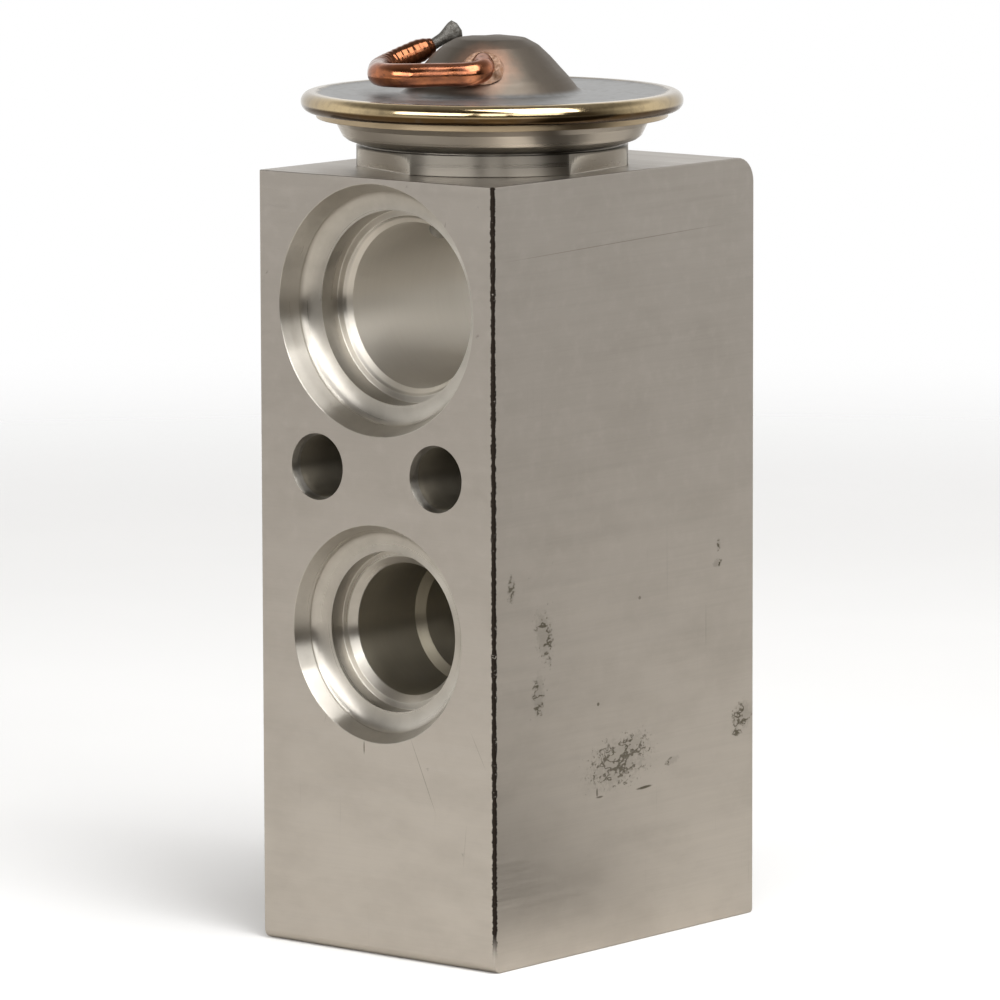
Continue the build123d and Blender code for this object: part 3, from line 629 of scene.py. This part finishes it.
# the upright bores as radius and height, from the adjuster's mouth up to the head's seat
ADJUSTER_MOUTH_R, ADJUSTER_R, CHAMBER_R, ORIFICE_R, ROD_R = 7.25, 6.65, 6.1, 3.62, 1.26
SEAL_R, PASSAGE_R, STUB_R, HEAD_SEAL_R = 2.86, 6.2, 10.1, 11.7
CHAMBER_TOP, SEAL_FOOT, STUB_FOOT, HEAD_SEAL_FOOT = 23.4, 43.0, 72.2, 74.4
upright = [
    (0, -OVERSHOOT), (ADJUSTER_MOUTH_R, -OVERSHOOT), (ADJUSTER_MOUTH_R, 0), (ADJUSTER_R, 0.6),
    (ADJUSTER_R, 6.65), (CHAMBER_R, 7.2), (CHAMBER_R, CHAMBER_TOP), (ORIFICE_R, CHAMBER_TOP),
    (ORIFICE_R, OUTLET_Z), (ROD_R, OUTLET_Z), (ROD_R, SEAL_FOOT), (SEAL_R, SEAL_FOOT),
    (SEAL_R, SUCTION_Z), (PASSAGE_R, SUCTION_Z), (PASSAGE_R, STUB_FOOT), (STUB_R, STUB_FOOT),
    (STUB_R, HEAD_SEAL_FOOT), (HEAD_SEAL_R, HEIGHT), (HEAD_SEAL_R, HEIGHT + OVERSHOOT),
    (0, HEIGHT + OVERSHOOT)]
cutters.append((upright, (0, AXIS_Y, 0), "z", inner_walls))

# three punch marks lock the adjuster
PUNCH_CIRCLE_R, PUNCH_R = 8.6, 0.7
punch = [(PUNCH_R * sin(t), -PUNCH_R * cos(t)) for t in (pi * k / 8 for k in range(9))]
punch[0], punch[-1] = (0, -PUNCH_R), (0, PUNCH_R)
for turn in (90, 210, 330):
    a = radians(turn)
    spot = (PUNCH_CIRCLE_R * cos(a), AXIS_Y + PUNCH_CIRCLE_R * sin(a), 0)
    cutters.append((punch, spot, "z", inner_walls))
print(len(cutters), "cutters")


# %% Cut, and keep the result
def cut(piece, cutter):
    """Subtract one mesh from another and keep only the result."""
    boolean = piece.modifiers.new("cut", "BOOLEAN")
    boolean.operation, boolean.solver, boolean.object = "DIFFERENCE", "EXACT", cutter
    boolean.material_mode = "TRANSFER"
    seen = piece.evaluated_get(bpy.context.evaluated_depsgraph_get())
    settled = bpy.data.meshes.new_from_object(seen)
    piece.modifiers.clear()
    piece.data = settled
    bpy.data.objects.remove(cutter)


for outline, centre, along, finish in cutters:
    cutter = turned("cutter", outline, centre, along)
    cutter.data.materials.append(finish)
    bpy.context.view_layer.update()
    cut(bar, cutter)
block = finish_mesh(bar, 15)
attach(block, "valve")
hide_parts("valve_block")
print("block:", len(block.data.polygons), "faces,", [m.name for m in block.data.materials])

# %% [markdown]
# ## The steel head
#
# The head is two pieces of stainless steel: a turned cup that screws into the block, and a
# pressed cap whose edge is rolled tightly round it. Both are spun from their half-sections.
# Three spanner flats are milled on the cup's collar, so there the radius is cut back to a
# straight line. The flats' own corners need vertices exactly where each flat ends.

# %% Lower half: collar, neck, cup and lip
COLLAR_R, COLLAR_FLAT, COLLAR_TOP = 13.3, 12.06, 78.05
FLAT_TURNS = [8.4, 128.4, 248.4]
RUN_OUT = 0.02            # nearer than this to its top the collar stays round
HEAD_STEPS = 240
flat_half = degrees(acos(COLLAR_FLAT / COLLAR_R))


def flats(radius, height, angle):
    """Cut a turned radius back to the nearest spanner flat."""
    if height > COLLAR_TOP - RUN_OUT:
        return radius
    for turn in FLAT_TURNS:
        offset = (degrees(angle) - turn + 180) % 360 - 180
        if abs(offset) < flat_half:
            return min(radius, COLLAR_FLAT / cos(radians(offset)))
    return radius


collar_angles = set(even_angles(HEAD_STEPS))
for turn in FLAT_TURNS:
    collar_angles |= {radians((turn + side * flat_half) % 360) for side in (-1, 1)}
thread_and_collar = [(7.0, 72.3), (9.6, 72.3), (10.0, 72.7), (10.0, HEIGHT),
                     (COLLAR_R, HEIGHT + 0.02), (COLLAR_R, COLLAR_TOP - 0.01)]
bowl_and_lip = [
    (13.24, COLLAR_TOP + 0.005), (12.75, 78.06), (12.75, 78.25), (13.5, 78.4), (14.2, 78.65),
    (14.65, 79.0), (14.9, 79.5), (15.2, 80.1), (15.8, 80.75), (17.2, 80.75), (17.2, 81.97),
    (18.08, 81.97), (18.08, 82.55), (15.4, 82.55), (12.6, 80.32), (7.0, 80.32), (7.0, 72.3)]
cup_outline = softened(thread_and_collar, 0.08) + softened(bowl_and_lip, 0.1)[:-1]
cup = finish_mesh(turned("head_cup", cup_outline, (0, AXIS_Y, 0), closed=True,
                         angles=sorted(collar_angles), shape=flats), 25)
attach(cup, "valve")
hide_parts("lower_housing")
print("cup:", len(cup.data.polygons), "faces")

# %% Cap: dome, flat and rolled rim
RIM_R, RIM_FOOT, RIM_TOP, FLAT_TOP = 18.7, 81.35, 83.3, 83.2
rim_mid, rim_round = (RIM_FOOT + RIM_TOP) / 2, (RIM_TOP - RIM_FOOT) / 2
dome = softened(
    [(0, 88.68), (2.0, 88.62), (3.4, 88.42), (4.7, 87.72), (5.9, 86.62), (6.9, 85.5), (7.75, 84.6),
     (8.3, 83.55), (8.9, FLAT_TOP), (13.0, FLAT_TOP), (13.3, FLAT_TOP - 0.05),
     (16.2, FLAT_TOP - 0.05)], 1.2, 5)
rim = [(16.9, FLAT_TOP), (17.2, RIM_TOP)]
rim += [(RIM_R - rim_round + rim_round * sin(t), rim_mid + rim_round * cos(t))
        for t in (pi * k / 20 for k in range(21))]
inside = [(17.22, RIM_FOOT), (17.22, 81.95), (18.1, 81.95), (18.1, 82.7), (7.7, 82.7),
          (7.1, 84.5), (2.05, 88.1), (0, 88.1)]
cap_outline = dome + softened(rim, 0.15) + inside
DOME_FOOT, DOME_RISE = 84, 4.7
DENT_TURN, LEAN_TURN = radians(20), radians(39.6)


def dome_lean(radius, height, angle):
    """The pressed dome is a touch out of round and has one shallow dent."""
    if height < DOME_FOOT or radius < 1:
        return radius
    level = max(0.0, sin((height - DOME_FOOT) / DOME_RISE * pi))
    dent = max(0.0, cos(angle - DENT_TURN)) ** 8 * level
    return radius * (1 - 0.03 * dent) - 0.1 * cos(angle - LEAN_TURN)


cap = turned("head_cap", cap_outline, (0, AXIS_Y, 0), angles=even_angles(HEAD_STEPS),
             shape=dome_lean)
# blows and the press have left the dome's skin a little lower in places
for vert in cap.data.vertices:
    spot = vert.co / MM
    if spot.z > DOME_FOOT + 0.2:
        vert.co.z -= 0.16 * max(0.0, noise.noise(spot * 0.42)) * MM
finish_mesh(cap, 32)
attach(cap, "valve")
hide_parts("upper_housing")
print("cap:", len(cap.data.polygons), "faces")

# %% [markdown]
# ## The copper charge tube
#
# The head is filled through a thin copper tube. Afterwards the tube is bent out of the
# way, pinched flat and sealed with solder. It is swept along its bent route as rings of
# vertices, which lets the ring narrow little by little towards the pinched end and wander
# slightly as a hand-bent tube does.

# %% The bent route
TURN = radians(39.6)
ALONG, AWAY = Vector((cos(TURN), sin(TURN), 0)), Vector((-sin(TURN), cos(TURN), 0))
HEAD = Vector((0, AXIS_Y, FLAT_TOP))
# each point lies so far to the viewer's right, away from the viewer and up from the flat
ROUTE = [(-0.9, -4.9, 3.15), (-0.9, -8.7, 2.4), (-11.0, -8.1, 2.15), (-10.9, 1.4, 2.2),
         (-5.8, 3.1, 4.3)]
BENDS = [1.7, 3.8, 3.2]
TUBE_R = 1.17
route = [HEAD + ALONG * u + AWAY * v + Vector((0, 0, rise)) for u, v, rise in ROUTE]


def rounded_route(points, radii, step=0.16):
    """Line through the points with its corners bent to the given radii."""
    line = [points[0]]
    for index, radius in enumerate(radii):
        before, corner, after = points[index], points[index + 1], points[index + 2]
        back, ahead = (before - corner).normalized(), (after - corner).normalized()
        turn = pi - back.angle(ahead)
        reach = radius * tan(turn / 2)
        centre = corner + (back + ahead).normalized() * radius / cos(turn / 2)
        start, end = corner + back * reach, corner + ahead * reach
        run = start - line[-1]
        parts = max(1, ceil(run.length / step))
        line += [line[-1] + run * k / parts for k in range(1, parts + 1)]
        parts = max(6, ceil(radius * turn / step))
        a, b = start - centre, end - centre
        for k in range(1, parts + 1):
            t = k / parts
            line.append(centre + (a * sin((1 - t) * turn) + b * sin(t * turn)) / sin(turn))
    run = points[-1] - line[-1]
    parts = max(1, ceil(run.length / step))
    return line + [line[-1] + run * k / parts for k in range(1, parts + 1)]


tube_line = rounded_route(route, BENDS)
run_length = sum((b - a).length for a, b in zip(tube_line, tube_line[1:]))
print("tube:", round(run_length, 1), "mm long")


# %% Sweep rings along the route
TUBE_SIDES = 28


def skin(bm, rings):
    """Join rings of vertices into a tube with closed ends."""
    for low, high in zip(rings, rings[1:]):
        for k in range(len(low)):
            bm.faces.new((low[k - 1], low[k], high[k], high[k - 1]))
    bm.faces.new(rings[0])
    bm.faces.new(rings[-1])


def swept(name, line, ring_size, first_side=Vector((0, 0, 1))):
    """Closed tube along a line. ring_size(share) gives a ring's half width and half height."""
    last = len(line) - 1
    tangents = [(line[min(k + 1, last)] - line[max(k - 1, 0)]).normalized()
                for k in range(last + 1)]

    def build(bm):
        side, rings = first_side, []
        for k, (spot, tangent) in enumerate(zip(line, tangents)):
            side = (side - tangent * side.dot(tangent)).normalized()
            other = tangent.cross(side)
            wide, high = ring_size(k / last)
            ring = []
            for angle in even_angles(TUBE_SIDES):
                point = spot + other * wide * cos(angle) + side * high * sin(angle)
                wander = noise.noise(point * 0.55) * 0.035
                ring.append(bm.verts.new((point + (point - spot) * wander) * MM))
            rings.append(ring)
        skin(bm, rings)

    return mesh_object(name, build)


RIBBED_FROM, DRAWN_FROM = 0.72, 0.93


def tube_size(share):
    """Full round, then crimped in small ribs and drawn narrower towards the pinch."""
    drawn = min(1.0, max(0.0, (share - DRAWN_FROM) / (1 - DRAWN_FROM)))
    ribs = 0.022 * sin(share * 260) if share > RIBBED_FROM else 0.0
    size = TUBE_R * (1 - 0.40 * drawn * drawn) + ribs
    return size, size


tube = finish_mesh(swept("charge_tube_bent", tube_line, tube_size), 50)
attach(tube, "valve")
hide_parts("charge_tube")

# %% Solder over the pinched end
TIP_LENGTH, TIP_OVERLAP = 3.4, 0.25
tip_way = (ALONG * 2.6 + Vector((0, 0, 1.75))).normalized()
tip_line = [route[-1] + tip_way * (TIP_LENGTH * k / 24 - TIP_OVERLAP) for k in range(25)]


def tip_size(share):
    """Slim where it leaves the tube, then flattened like a fish tail."""
    spread = min(1.0, max(0.0, (share - 0.35) / 0.5))
    wide = 0.58 + 0.40 * spread * spread * (3 - 2 * spread)
    thin = 0.58 - 0.16 * spread
    close = min(1.0, (1 - share) * 7 + 0.45)
    return wide * close, thin * close


tip = finish_mesh(swept("solder_tip", tip_line, tip_size, first_side=AWAY), 60)
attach(tip, "valve")
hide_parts("tip_solder")
print("tip:", len(tip.data.polygons), "faces")

# %% [markdown]
# ## Head finishes
#
# Brazing heats the head, and hot stainless steel grows straw, brown and blue films. The
# rim went golden, the dome brown round the tube, and the flat between them kept a cool
# grey. One cap material blends these by distance from the valve's axis and by height.
# The rim's gold is painted paler towards the near corner as painted light, and its
# underside is painted dark as painted shade.


# %% Steel with heat colours
def around_axis(bench, place):
    """Distance from the upright axis, height, and angle round it."""
    x, y, z = bench.split(place)
    y = bench.minus(y, AXIS_Y)
    return bench.length(x, y), z, bench.math("ARCTAN2", y, x)


NECK, FLATS_PAINTED_LIGHT, BOWL_PAINTED_LIGHT, STRAW = ((0.225, 0.208, 0.18, 1), (0.68, 0.64, 0.57, 1), (0.50, 0.455, 0.39, 1),
                           (0.46, 0.36, 0.23, 1))
cup_steel, shader, bench = new_metal("turned stainless steel")
place = bench.place()
radius, rise, angle = around_axis(bench, place)
lines = bench.use(tool_lines, Place=bench.join(radius, rise, angle), Stretch=(5.0, 5.0, 0.3))
# painted light: the spanner flats and the bowl are painted much paler than the neck, standing in
# for the light they catch
lit_flats = bench.times(bench.span(radius, 13.27, 13.18), bench.span(rise, 78.03, 77.99))
lit_bowl = bench.times(bench.span(rise, 78.6, 79.2), bench.span(rise, 80.9, 80.6))
colour = bench.mix(lit_flats, NECK, FLATS_PAINTED_LIGHT)
colour = bench.mix(lit_bowl, colour, BOWL_PAINTED_LIGHT)
colour = bench.mix(bench.span(rise, 80.5, 80.9), colour, STRAW)
colour = bench.mix(bench.times(lines, 0.2), colour, (0.30, 0.28, 0.25, 1))
tangent = bench.add("ShaderNodeTangent", direction_type="RADIAL", axis="Z").outputs[0]
feed(bench, shader, Base_Color=colour, Anisotropic=0.85, Anisotropic_Rotation=0.25,
     Roughness=bench.span(lines, 0.3, 0.7, 0.26, 0.36),
     Normal=bench.bump(lines, 0.008, 0.5), Tangent=tangent)
cup.data.materials.append(cup_steel)

COOL_GREY, GOLD_PAINTED_DARKER, GOLD_PAINTED_PALER = (0.38, 0.385, 0.39, 1), (0.25, 0.195, 0.12, 1), (0.56, 0.44, 0.26, 1)
RIM_UNDERSIDE_SHADE, DOME, SCORCH = (0.085, 0.05, 0.02, 1), (0.15, 0.128, 0.105, 1), (0.34, 0.20, 0.14, 1)
cap_steel, shader, bench = new_metal("heat tinted steel")
place = bench.place()
radius, rise, angle = around_axis(bench, place)
lines = bench.use(tool_lines, Place=bench.join(radius, rise, angle), Stretch=(2.0, 2.0, 0.4))
film = bench.noise(place, 0.5, 4.0, 0.6)
on_rim = bench.span(bench.plus(radius, film), 17.2, 17.9)
off_rim = bench.minus(1.0, on_rim)
on_dome = bench.span(radius, 8.9, 8.2)
# painted shade: the lower half of the rim is painted near black
rim_underside_shade = bench.times(on_rim, bench.span(rise, 82.30, 82.05))
tube_foot = HEAD + ALONG * -0.9 + AWAY * -6.2 + Vector((0, 0, 3.0))
from_foot = bench.between(place, tuple(tube_foot), "DISTANCE")
scorched = bench.span(bench.plus(from_foot, bench.times(film, 2.4)), 5.4, 2.4)
stains = bench.use(clouds, Place=place, Scale=0.9, From=0.45, To=0.7)
# the rim's golden heat tint is painted paler towards the near corner and darker round its far
# sides, as painted light
x, y, _ = bench.split(place)
forward = bench.minus(bench.times(x, 0.637), bench.times(y, 0.771))
gold_and_painted_light = bench.mix(bench.span(forward, 4.0, 14.0), GOLD_PAINTED_DARKER, GOLD_PAINTED_PALER)
colour = bench.mix(on_rim, COOL_GREY, gold_and_painted_light)
for mask, paint in ((rim_underside_shade, RIM_UNDERSIDE_SHADE), (on_dome, DOME), (bench.times(scorched, 0.8), SCORCH),
                    (bench.times(stains, 0.25), (0.12, 0.10, 0.08, 1))):
    colour = bench.mix(mask, colour, paint)
rough = bench.span(lines, 0.3, 0.7, 0.09, 0.15)
rough = bench.plus(rough, bench.times(off_rim, 0.33))
rough = bench.plus(rough, bench.times(on_dome, 0.08))
height = bench.plus(lines, bench.times(on_dome, bench.noise(place, 0.8, 3.0)))
feed(bench, shader, Base_Color=colour, Roughness=rough, Normal=bench.bump(height, 0.008, 0.4))
cap.data.materials.append(cap_steel)
print("cap steel:", len(cap_steel.node_tree.nodes), "nodes")

# %% Copper, solder and braze
copper, shader, bench = new_metal("heated copper")
place = bench.place()
film = bench.use(clouds, Place=place, Scale=0.7, From=0.35, To=0.7)
dark = bench.use(clouds, Place=bench.scaled(place, (1, 1, 1.6)), Scale=1.3, From=0.5, To=0.75)
colour = bench.mix(film, (0.50, 0.185, 0.085, 1), (0.34, 0.13, 0.07, 1))
colour = bench.mix(bench.times(dark, 0.6), colour, (0.14, 0.065, 0.045, 1))
# painted shade: the copper further from the viewer than the front run is painted darker
behind = bench.between(place, tuple(AWAY), "DOT_PRODUCT")
axis_behind = AXIS_Y * AWAY.y
far_side_shade = bench.span(behind, axis_behind - 7.5, axis_behind - 4.0)
colour = bench.mix(bench.times(far_side_shade, 0.75), colour, (0.17, 0.065, 0.03, 1))
feed(bench, shader, Base_Color=colour, Roughness=bench.span(film, 0, 1, 0.15, 0.26),
     Normal=bench.bump(bench.noise(place, 1.6, 2.0), 0.02, 0.4))
tube.data.materials.append(copper)


def grained_metal(name, metallic, grain, dark, light, rough, bump):
    """Metal that has run and set: two tints, roughness and bumps from the same noise."""
    material, shader, bench = new_metal(name, metallic)
    grain = bench.noise(bench.place(), *grain)
    feed(bench, shader, Base_Color=bench.mix(bench.span(grain, 0.3, 0.7), dark, light),
         Roughness=bench.span(grain, 0.3, 0.7, *rough), Normal=bench.bump(grain, *bump))
    return material


solder = grained_metal("dull solder", 0.85, (2.4, 5.0, 0.65), (0.09, 0.082, 0.07, 1),
                       (0.20, 0.195, 0.18, 1), (0.45, 0.62), (0.12, 0.7))
tip.data.materials.append(solder)
braze = grained_metal("brazing metal", 0.9, (1.8, 4.0, 0.6), (0.42, 0.22, 0.13, 1),
                      (0.62, 0.42, 0.31, 1), (0.28, 0.45), (0.08, 0.6))
print("copper, solder and braze mixed")

# %% [markdown]
# ## The pieces inside
#
# Rods, ball, seals and the small springs show only as slivers down the bores, or when the
# valve is opened up. Their shapes are right as they come, so they keep their meshes and get
# finishes: ground steel, spring steel, brass and moulded rubber.


# %% Finishes for the inner pieces
def plain_metal(name, light, dark, rough, scale):
    """Turned metal in two tints; rough gives the span of its roughness."""
    material, shader, bench = new_metal(name)
    place = bench.place()
    around = bench.join(*around_axis(bench, place))
    lines = bench.use(tool_lines, Place=around, Stretch=(3.0, 3.0, 0.3))
    tint = bench.use(clouds, Place=place, Scale=scale, From=0.35, To=0.75)
    feed(bench, shader, Base_Color=bench.mix(tint, light + (1,), dark + (1,)),
         Roughness=bench.span(lines, 0.3, 0.7, *rough), Normal=bench.bump(lines, 0.008, 0.5))
    return material


ground = plain_metal("ground steel", (0.58, 0.57, 0.56), (0.45, 0.44, 0.43), (0.12, 0.2), 0.4)
sprung = plain_metal("spring steel", (0.36, 0.36, 0.37), (0.22, 0.21, 0.22), (0.22, 0.34), 0.8)
rod_metal = plain_metal("turned rod", (0.62, 0.61, 0.60), (0.52, 0.51, 0.49), (0.18, 0.28), 0.3)
brass = plain_metal("turned brass", (0.68, 0.50, 0.24), (0.50, 0.36, 0.17), (0.18, 0.3), 0.5)

rubber, shader, bench = new_metal("moulded rubber", 0.0)
grain = bench.noise(bench.place(), 3.0, 4.0, 0.6)
feed(bench, shader, Base_Color=bench.mix(grain, (0.012, 0.014, 0.012, 1), (0.03, 0.033, 0.03, 1)),
     Roughness=bench.span(grain, 0.3, 0.7, 0.4, 0.6), Normal=bench.bump(grain, 0.03, 0.4))

INNER = {
    ground: ["orifice_seat", "valve_ball", "ball_carrier", "push_rod", "diaphragm_pad"],
    sprung: ["damping_spring", "seal_clip", "diaphragm"],
    rod_metal: ["sensing_rod"], brass: ["adjusting_screw"], braze: ["tube_braze"],
    rubber: ["rod_seal", "adjuster_seal", "head_seal"],
}
for finish, names in INNER.items():
    for name in names:
        node = nodes[name]
        node.data.materials.clear()
        node.data.materials.append(finish)
        node.data.shade_smooth()
        node.data.set_sharp_from_angle(angle=radians(30))
print("inner pieces dressed:", sum(len(names) for names in INNER.values()))

# %% [markdown]
# ## The closing spring
#
# This spring stands on the adjusting screw and lifts the ball's carrier. Its ends are
# ground flat. When the valve opens, the spring gets shorter by the stroke; STROKE holds
# that length but is not used, and the coil keeps the length of the part.

# %% Coil
COIL_R, WIRE_R, COIL_TURNS, STROKE = 4.2, 0.5, 4.5, 0.8
COIL_STEPS, WIRE_SIDES = 216, 12
coil_foot, coil_top = (corner[2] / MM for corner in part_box("valve_spring"))


def build_coil(bm):
    rings = []
    for k in range(COIL_STEPS + 1):
        turn = 2 * pi * COIL_TURNS * k / COIL_STEPS
        out = Vector((cos(turn), sin(turn), 0))
        middle = Vector((0, AXIS_Y, coil_foot + (coil_top - coil_foot) * k / COIL_STEPS))
        ring = []
        for around in even_angles(WIRE_SIDES):
            point = middle + out * (COIL_R + WIRE_R * cos(around))
            point.z = min(max(point.z + WIRE_R * sin(around), coil_foot), coil_top)
            ring.append(bm.verts.new(point * MM))
        rings.append(ring)
    skin(bm, rings[::-1])      # from the top down, which sets how the quads fold


coil = mesh_object("closing_spring", build_coil)
coil.data.shade_smooth()
coil.data.set_sharp_from_angle(angle=radians(50))
coil.data.materials.append(sprung)
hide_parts("valve_spring")
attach(coil, "valve")
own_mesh(coil)
print("coil:", round(coil_top - coil_foot, 2), "mm tall,", len(coil.data.polygons), "faces")

# %% [markdown]
# ## Studio
#
# Bare metal shows the room more than itself. A white room would wash it out, so the metal
# sees a dim room with a glow behind it and another at the left, and a dim floor with a dark
# cloth at the right, while the camera sees white and a pale floor. The light comes from soft
# panels. One high at the right draws the bright crescents in the ports. Three in front, with
# darker gaps between them, draw the upright bands on the neck and the line along the rim.

# %% Pale floor
FLOOR_R, BELOW_FEET = 0.6, 2e-5        # metres


def build_floor(bm):
    foot = Vector((0, 0, BELOW_FEET))
    bm.faces.new([bm.verts.new(Vector((cos(a), sin(a), 0)) * FLOOR_R - foot)
                  for a in even_angles(96)])


floor = mesh_object("floor", build_floor)
floor_paint, shader, bench = new_metal("pale floor", 0.0)
place = bench.place()
pale = bench.mix(bench.noise(place, 0.02, 2.0), (0.88, 0.88, 0.88, 1), (0.92, 0.92, 0.92, 1))
straight = bench.add("ShaderNodeLightPath").outputs["Is Camera Ray"]
x, y, _ = bench.split(place)
reach = bench.length(x, y)
to_right = bench.plus(bench.times(x, 0.995), bench.times(y, 0.1))
to_right = bench.math("DIVIDE", to_right, bench.plus(reach, 1.0))
cloth = bench.times(bench.span(to_right, 0.80, 0.95), bench.span(reach, 20.0, 40.0))
dim = bench.mix(cloth, (0.60, 0.57, 0.53, 1), (0.03, 0.025, 0.02, 1))
feed(bench, shader, Base_Color=bench.mix(straight, dim, pale), Roughness=0.8,
     Alpha=bench.span(reach, 480.0, 240.0))
floor.data.materials.append(floor_paint)

# %% Room and panels
world = bpy.data.worlds.new("studio room")
bpy.context.scene.world = world
world.use_nodes = True
room = Bench(world.node_tree)
for node in list(world.node_tree.nodes):
    world.node_tree.nodes.remove(node)
ray = room.add("ShaderNodeLightPath")
heading = room.add("ShaderNodeTexCoord").outputs["Generated"]


def direction(azimuth, elevation):
    """Azimuth 0 stands before the port face, 90 at the right."""
    a, e = radians(azimuth), radians(elevation)
    return Vector((sin(a) * cos(e), -cos(a) * cos(e), sin(e)))


def towards(azimuth, elevation, start, full):
    """Rises from 0 to 1 as a heading nears the given one; start and full are cosines."""
    match = room.between(heading, tuple(direction(azimuth, elevation)), "DOT_PRODUCT")
    return room.span(match, start, full)


back_glow = room.times(towards(-140, 6, -0.55, 0.75), 1.27)
left_glow = room.times(towards(-40, -8, 0.55, 0.95), 0.39)
overhead = room.span(room.split(heading)[2], 0.35, 0.75, 1.0, 0.2)
glow = room.times(room.plus(back_glow, left_glow), overhead)
wall = room.mix(glow, (0.045, 0.036, 0.026, 1), (1.0, 0.99, 0.97, 1))
in_metal = room.add("ShaderNodeBackground", {"Color": wall}).outputs[0]
in_camera = room.add("ShaderNodeBackground", {"Color": (1, 1, 1, 1), "Strength": 1.0}).outputs[0]
both = room.add("ShaderNodeMixShader", {0: ray.outputs["Is Camera Ray"], 1: in_metal, 2: in_camera})
room.add("ShaderNodeOutputWorld", {0: both.outputs[0]})

TARGET, PANEL_AWAY = Vector((0, 0, 0.045)), 0.9        # metres


def panel(name, azimuth, elevation, size, watts):
    """Soft light panel, seen from the middle of the block in the given direction."""
    way = direction(azimuth, elevation)
    light = bpy.data.lights.new(name, "AREA")
    light.shape, light.size, light.size_y = "RECTANGLE", size[0], size[1]
    light.energy = watts
    lamp = bpy.data.objects.new(name, light)
    bpy.context.scene.collection.objects.link(lamp)
    lamp.location = TARGET + way * PANEL_AWAY
    lamp.rotation_euler = way.to_track_quat("Z", "Y").to_euler()
    lamp.visible_camera = False


panel("left front panel", 2, 22, (0.74, 0.42), 4.2)
panel("middle front panel", 40, 21, (0.24, 0.40), 0.9)
panel("right front panel", 67, 22, (0.48, 0.42), 1.6)
panel("high right panel", 77, 58, (0.60, 0.88), 9)

# %% [markdown]
# ## Camera
#
# A long lens from about three quarters of a metre keeps the block's upright edges almost
# parallel. The camera looks at the near corner from a little above the middle.

# %% Place the camera
AZIMUTH, ELEVATION, ROLL = 39.575, 7.958, radians(-0.164)
DISTANCE, SHIFT_RIGHT, SHIFT_UP, LOOK_Z = 752.769, -0.937, 4.567, 38.0
LENS, SENSOR = 274.467, 36.0
back = direction(AZIMUTH, ELEVATION)
right = direction(AZIMUTH + 90, 0)
up = back.cross(right)
leaning_right = right * cos(ROLL) + up * sin(ROLL)
leaning_up = up * cos(ROLL) - right * sin(ROLL)
eye = (back * DISTANCE + right * SHIFT_RIGHT + up * SHIFT_UP + Vector((0, 0, LOOK_Z))) * MM
lens = bpy.data.cameras.new("camera")
lens.lens, lens.sensor_width, lens.clip_start = LENS, SENSOR, 0.01
camera = bpy.data.objects.new("camera", lens)
bpy.context.scene.collection.objects.link(camera)
turn = Matrix((leaning_right, leaning_up, back)).transposed().to_4x4()
camera.matrix_world = Matrix.Translation(eye) @ turn
bpy.context.scene.camera = camera
bpy.context.scene.view_settings.view_transform = "Standard"
print("camera at", [round(value, 3) for value in eye])
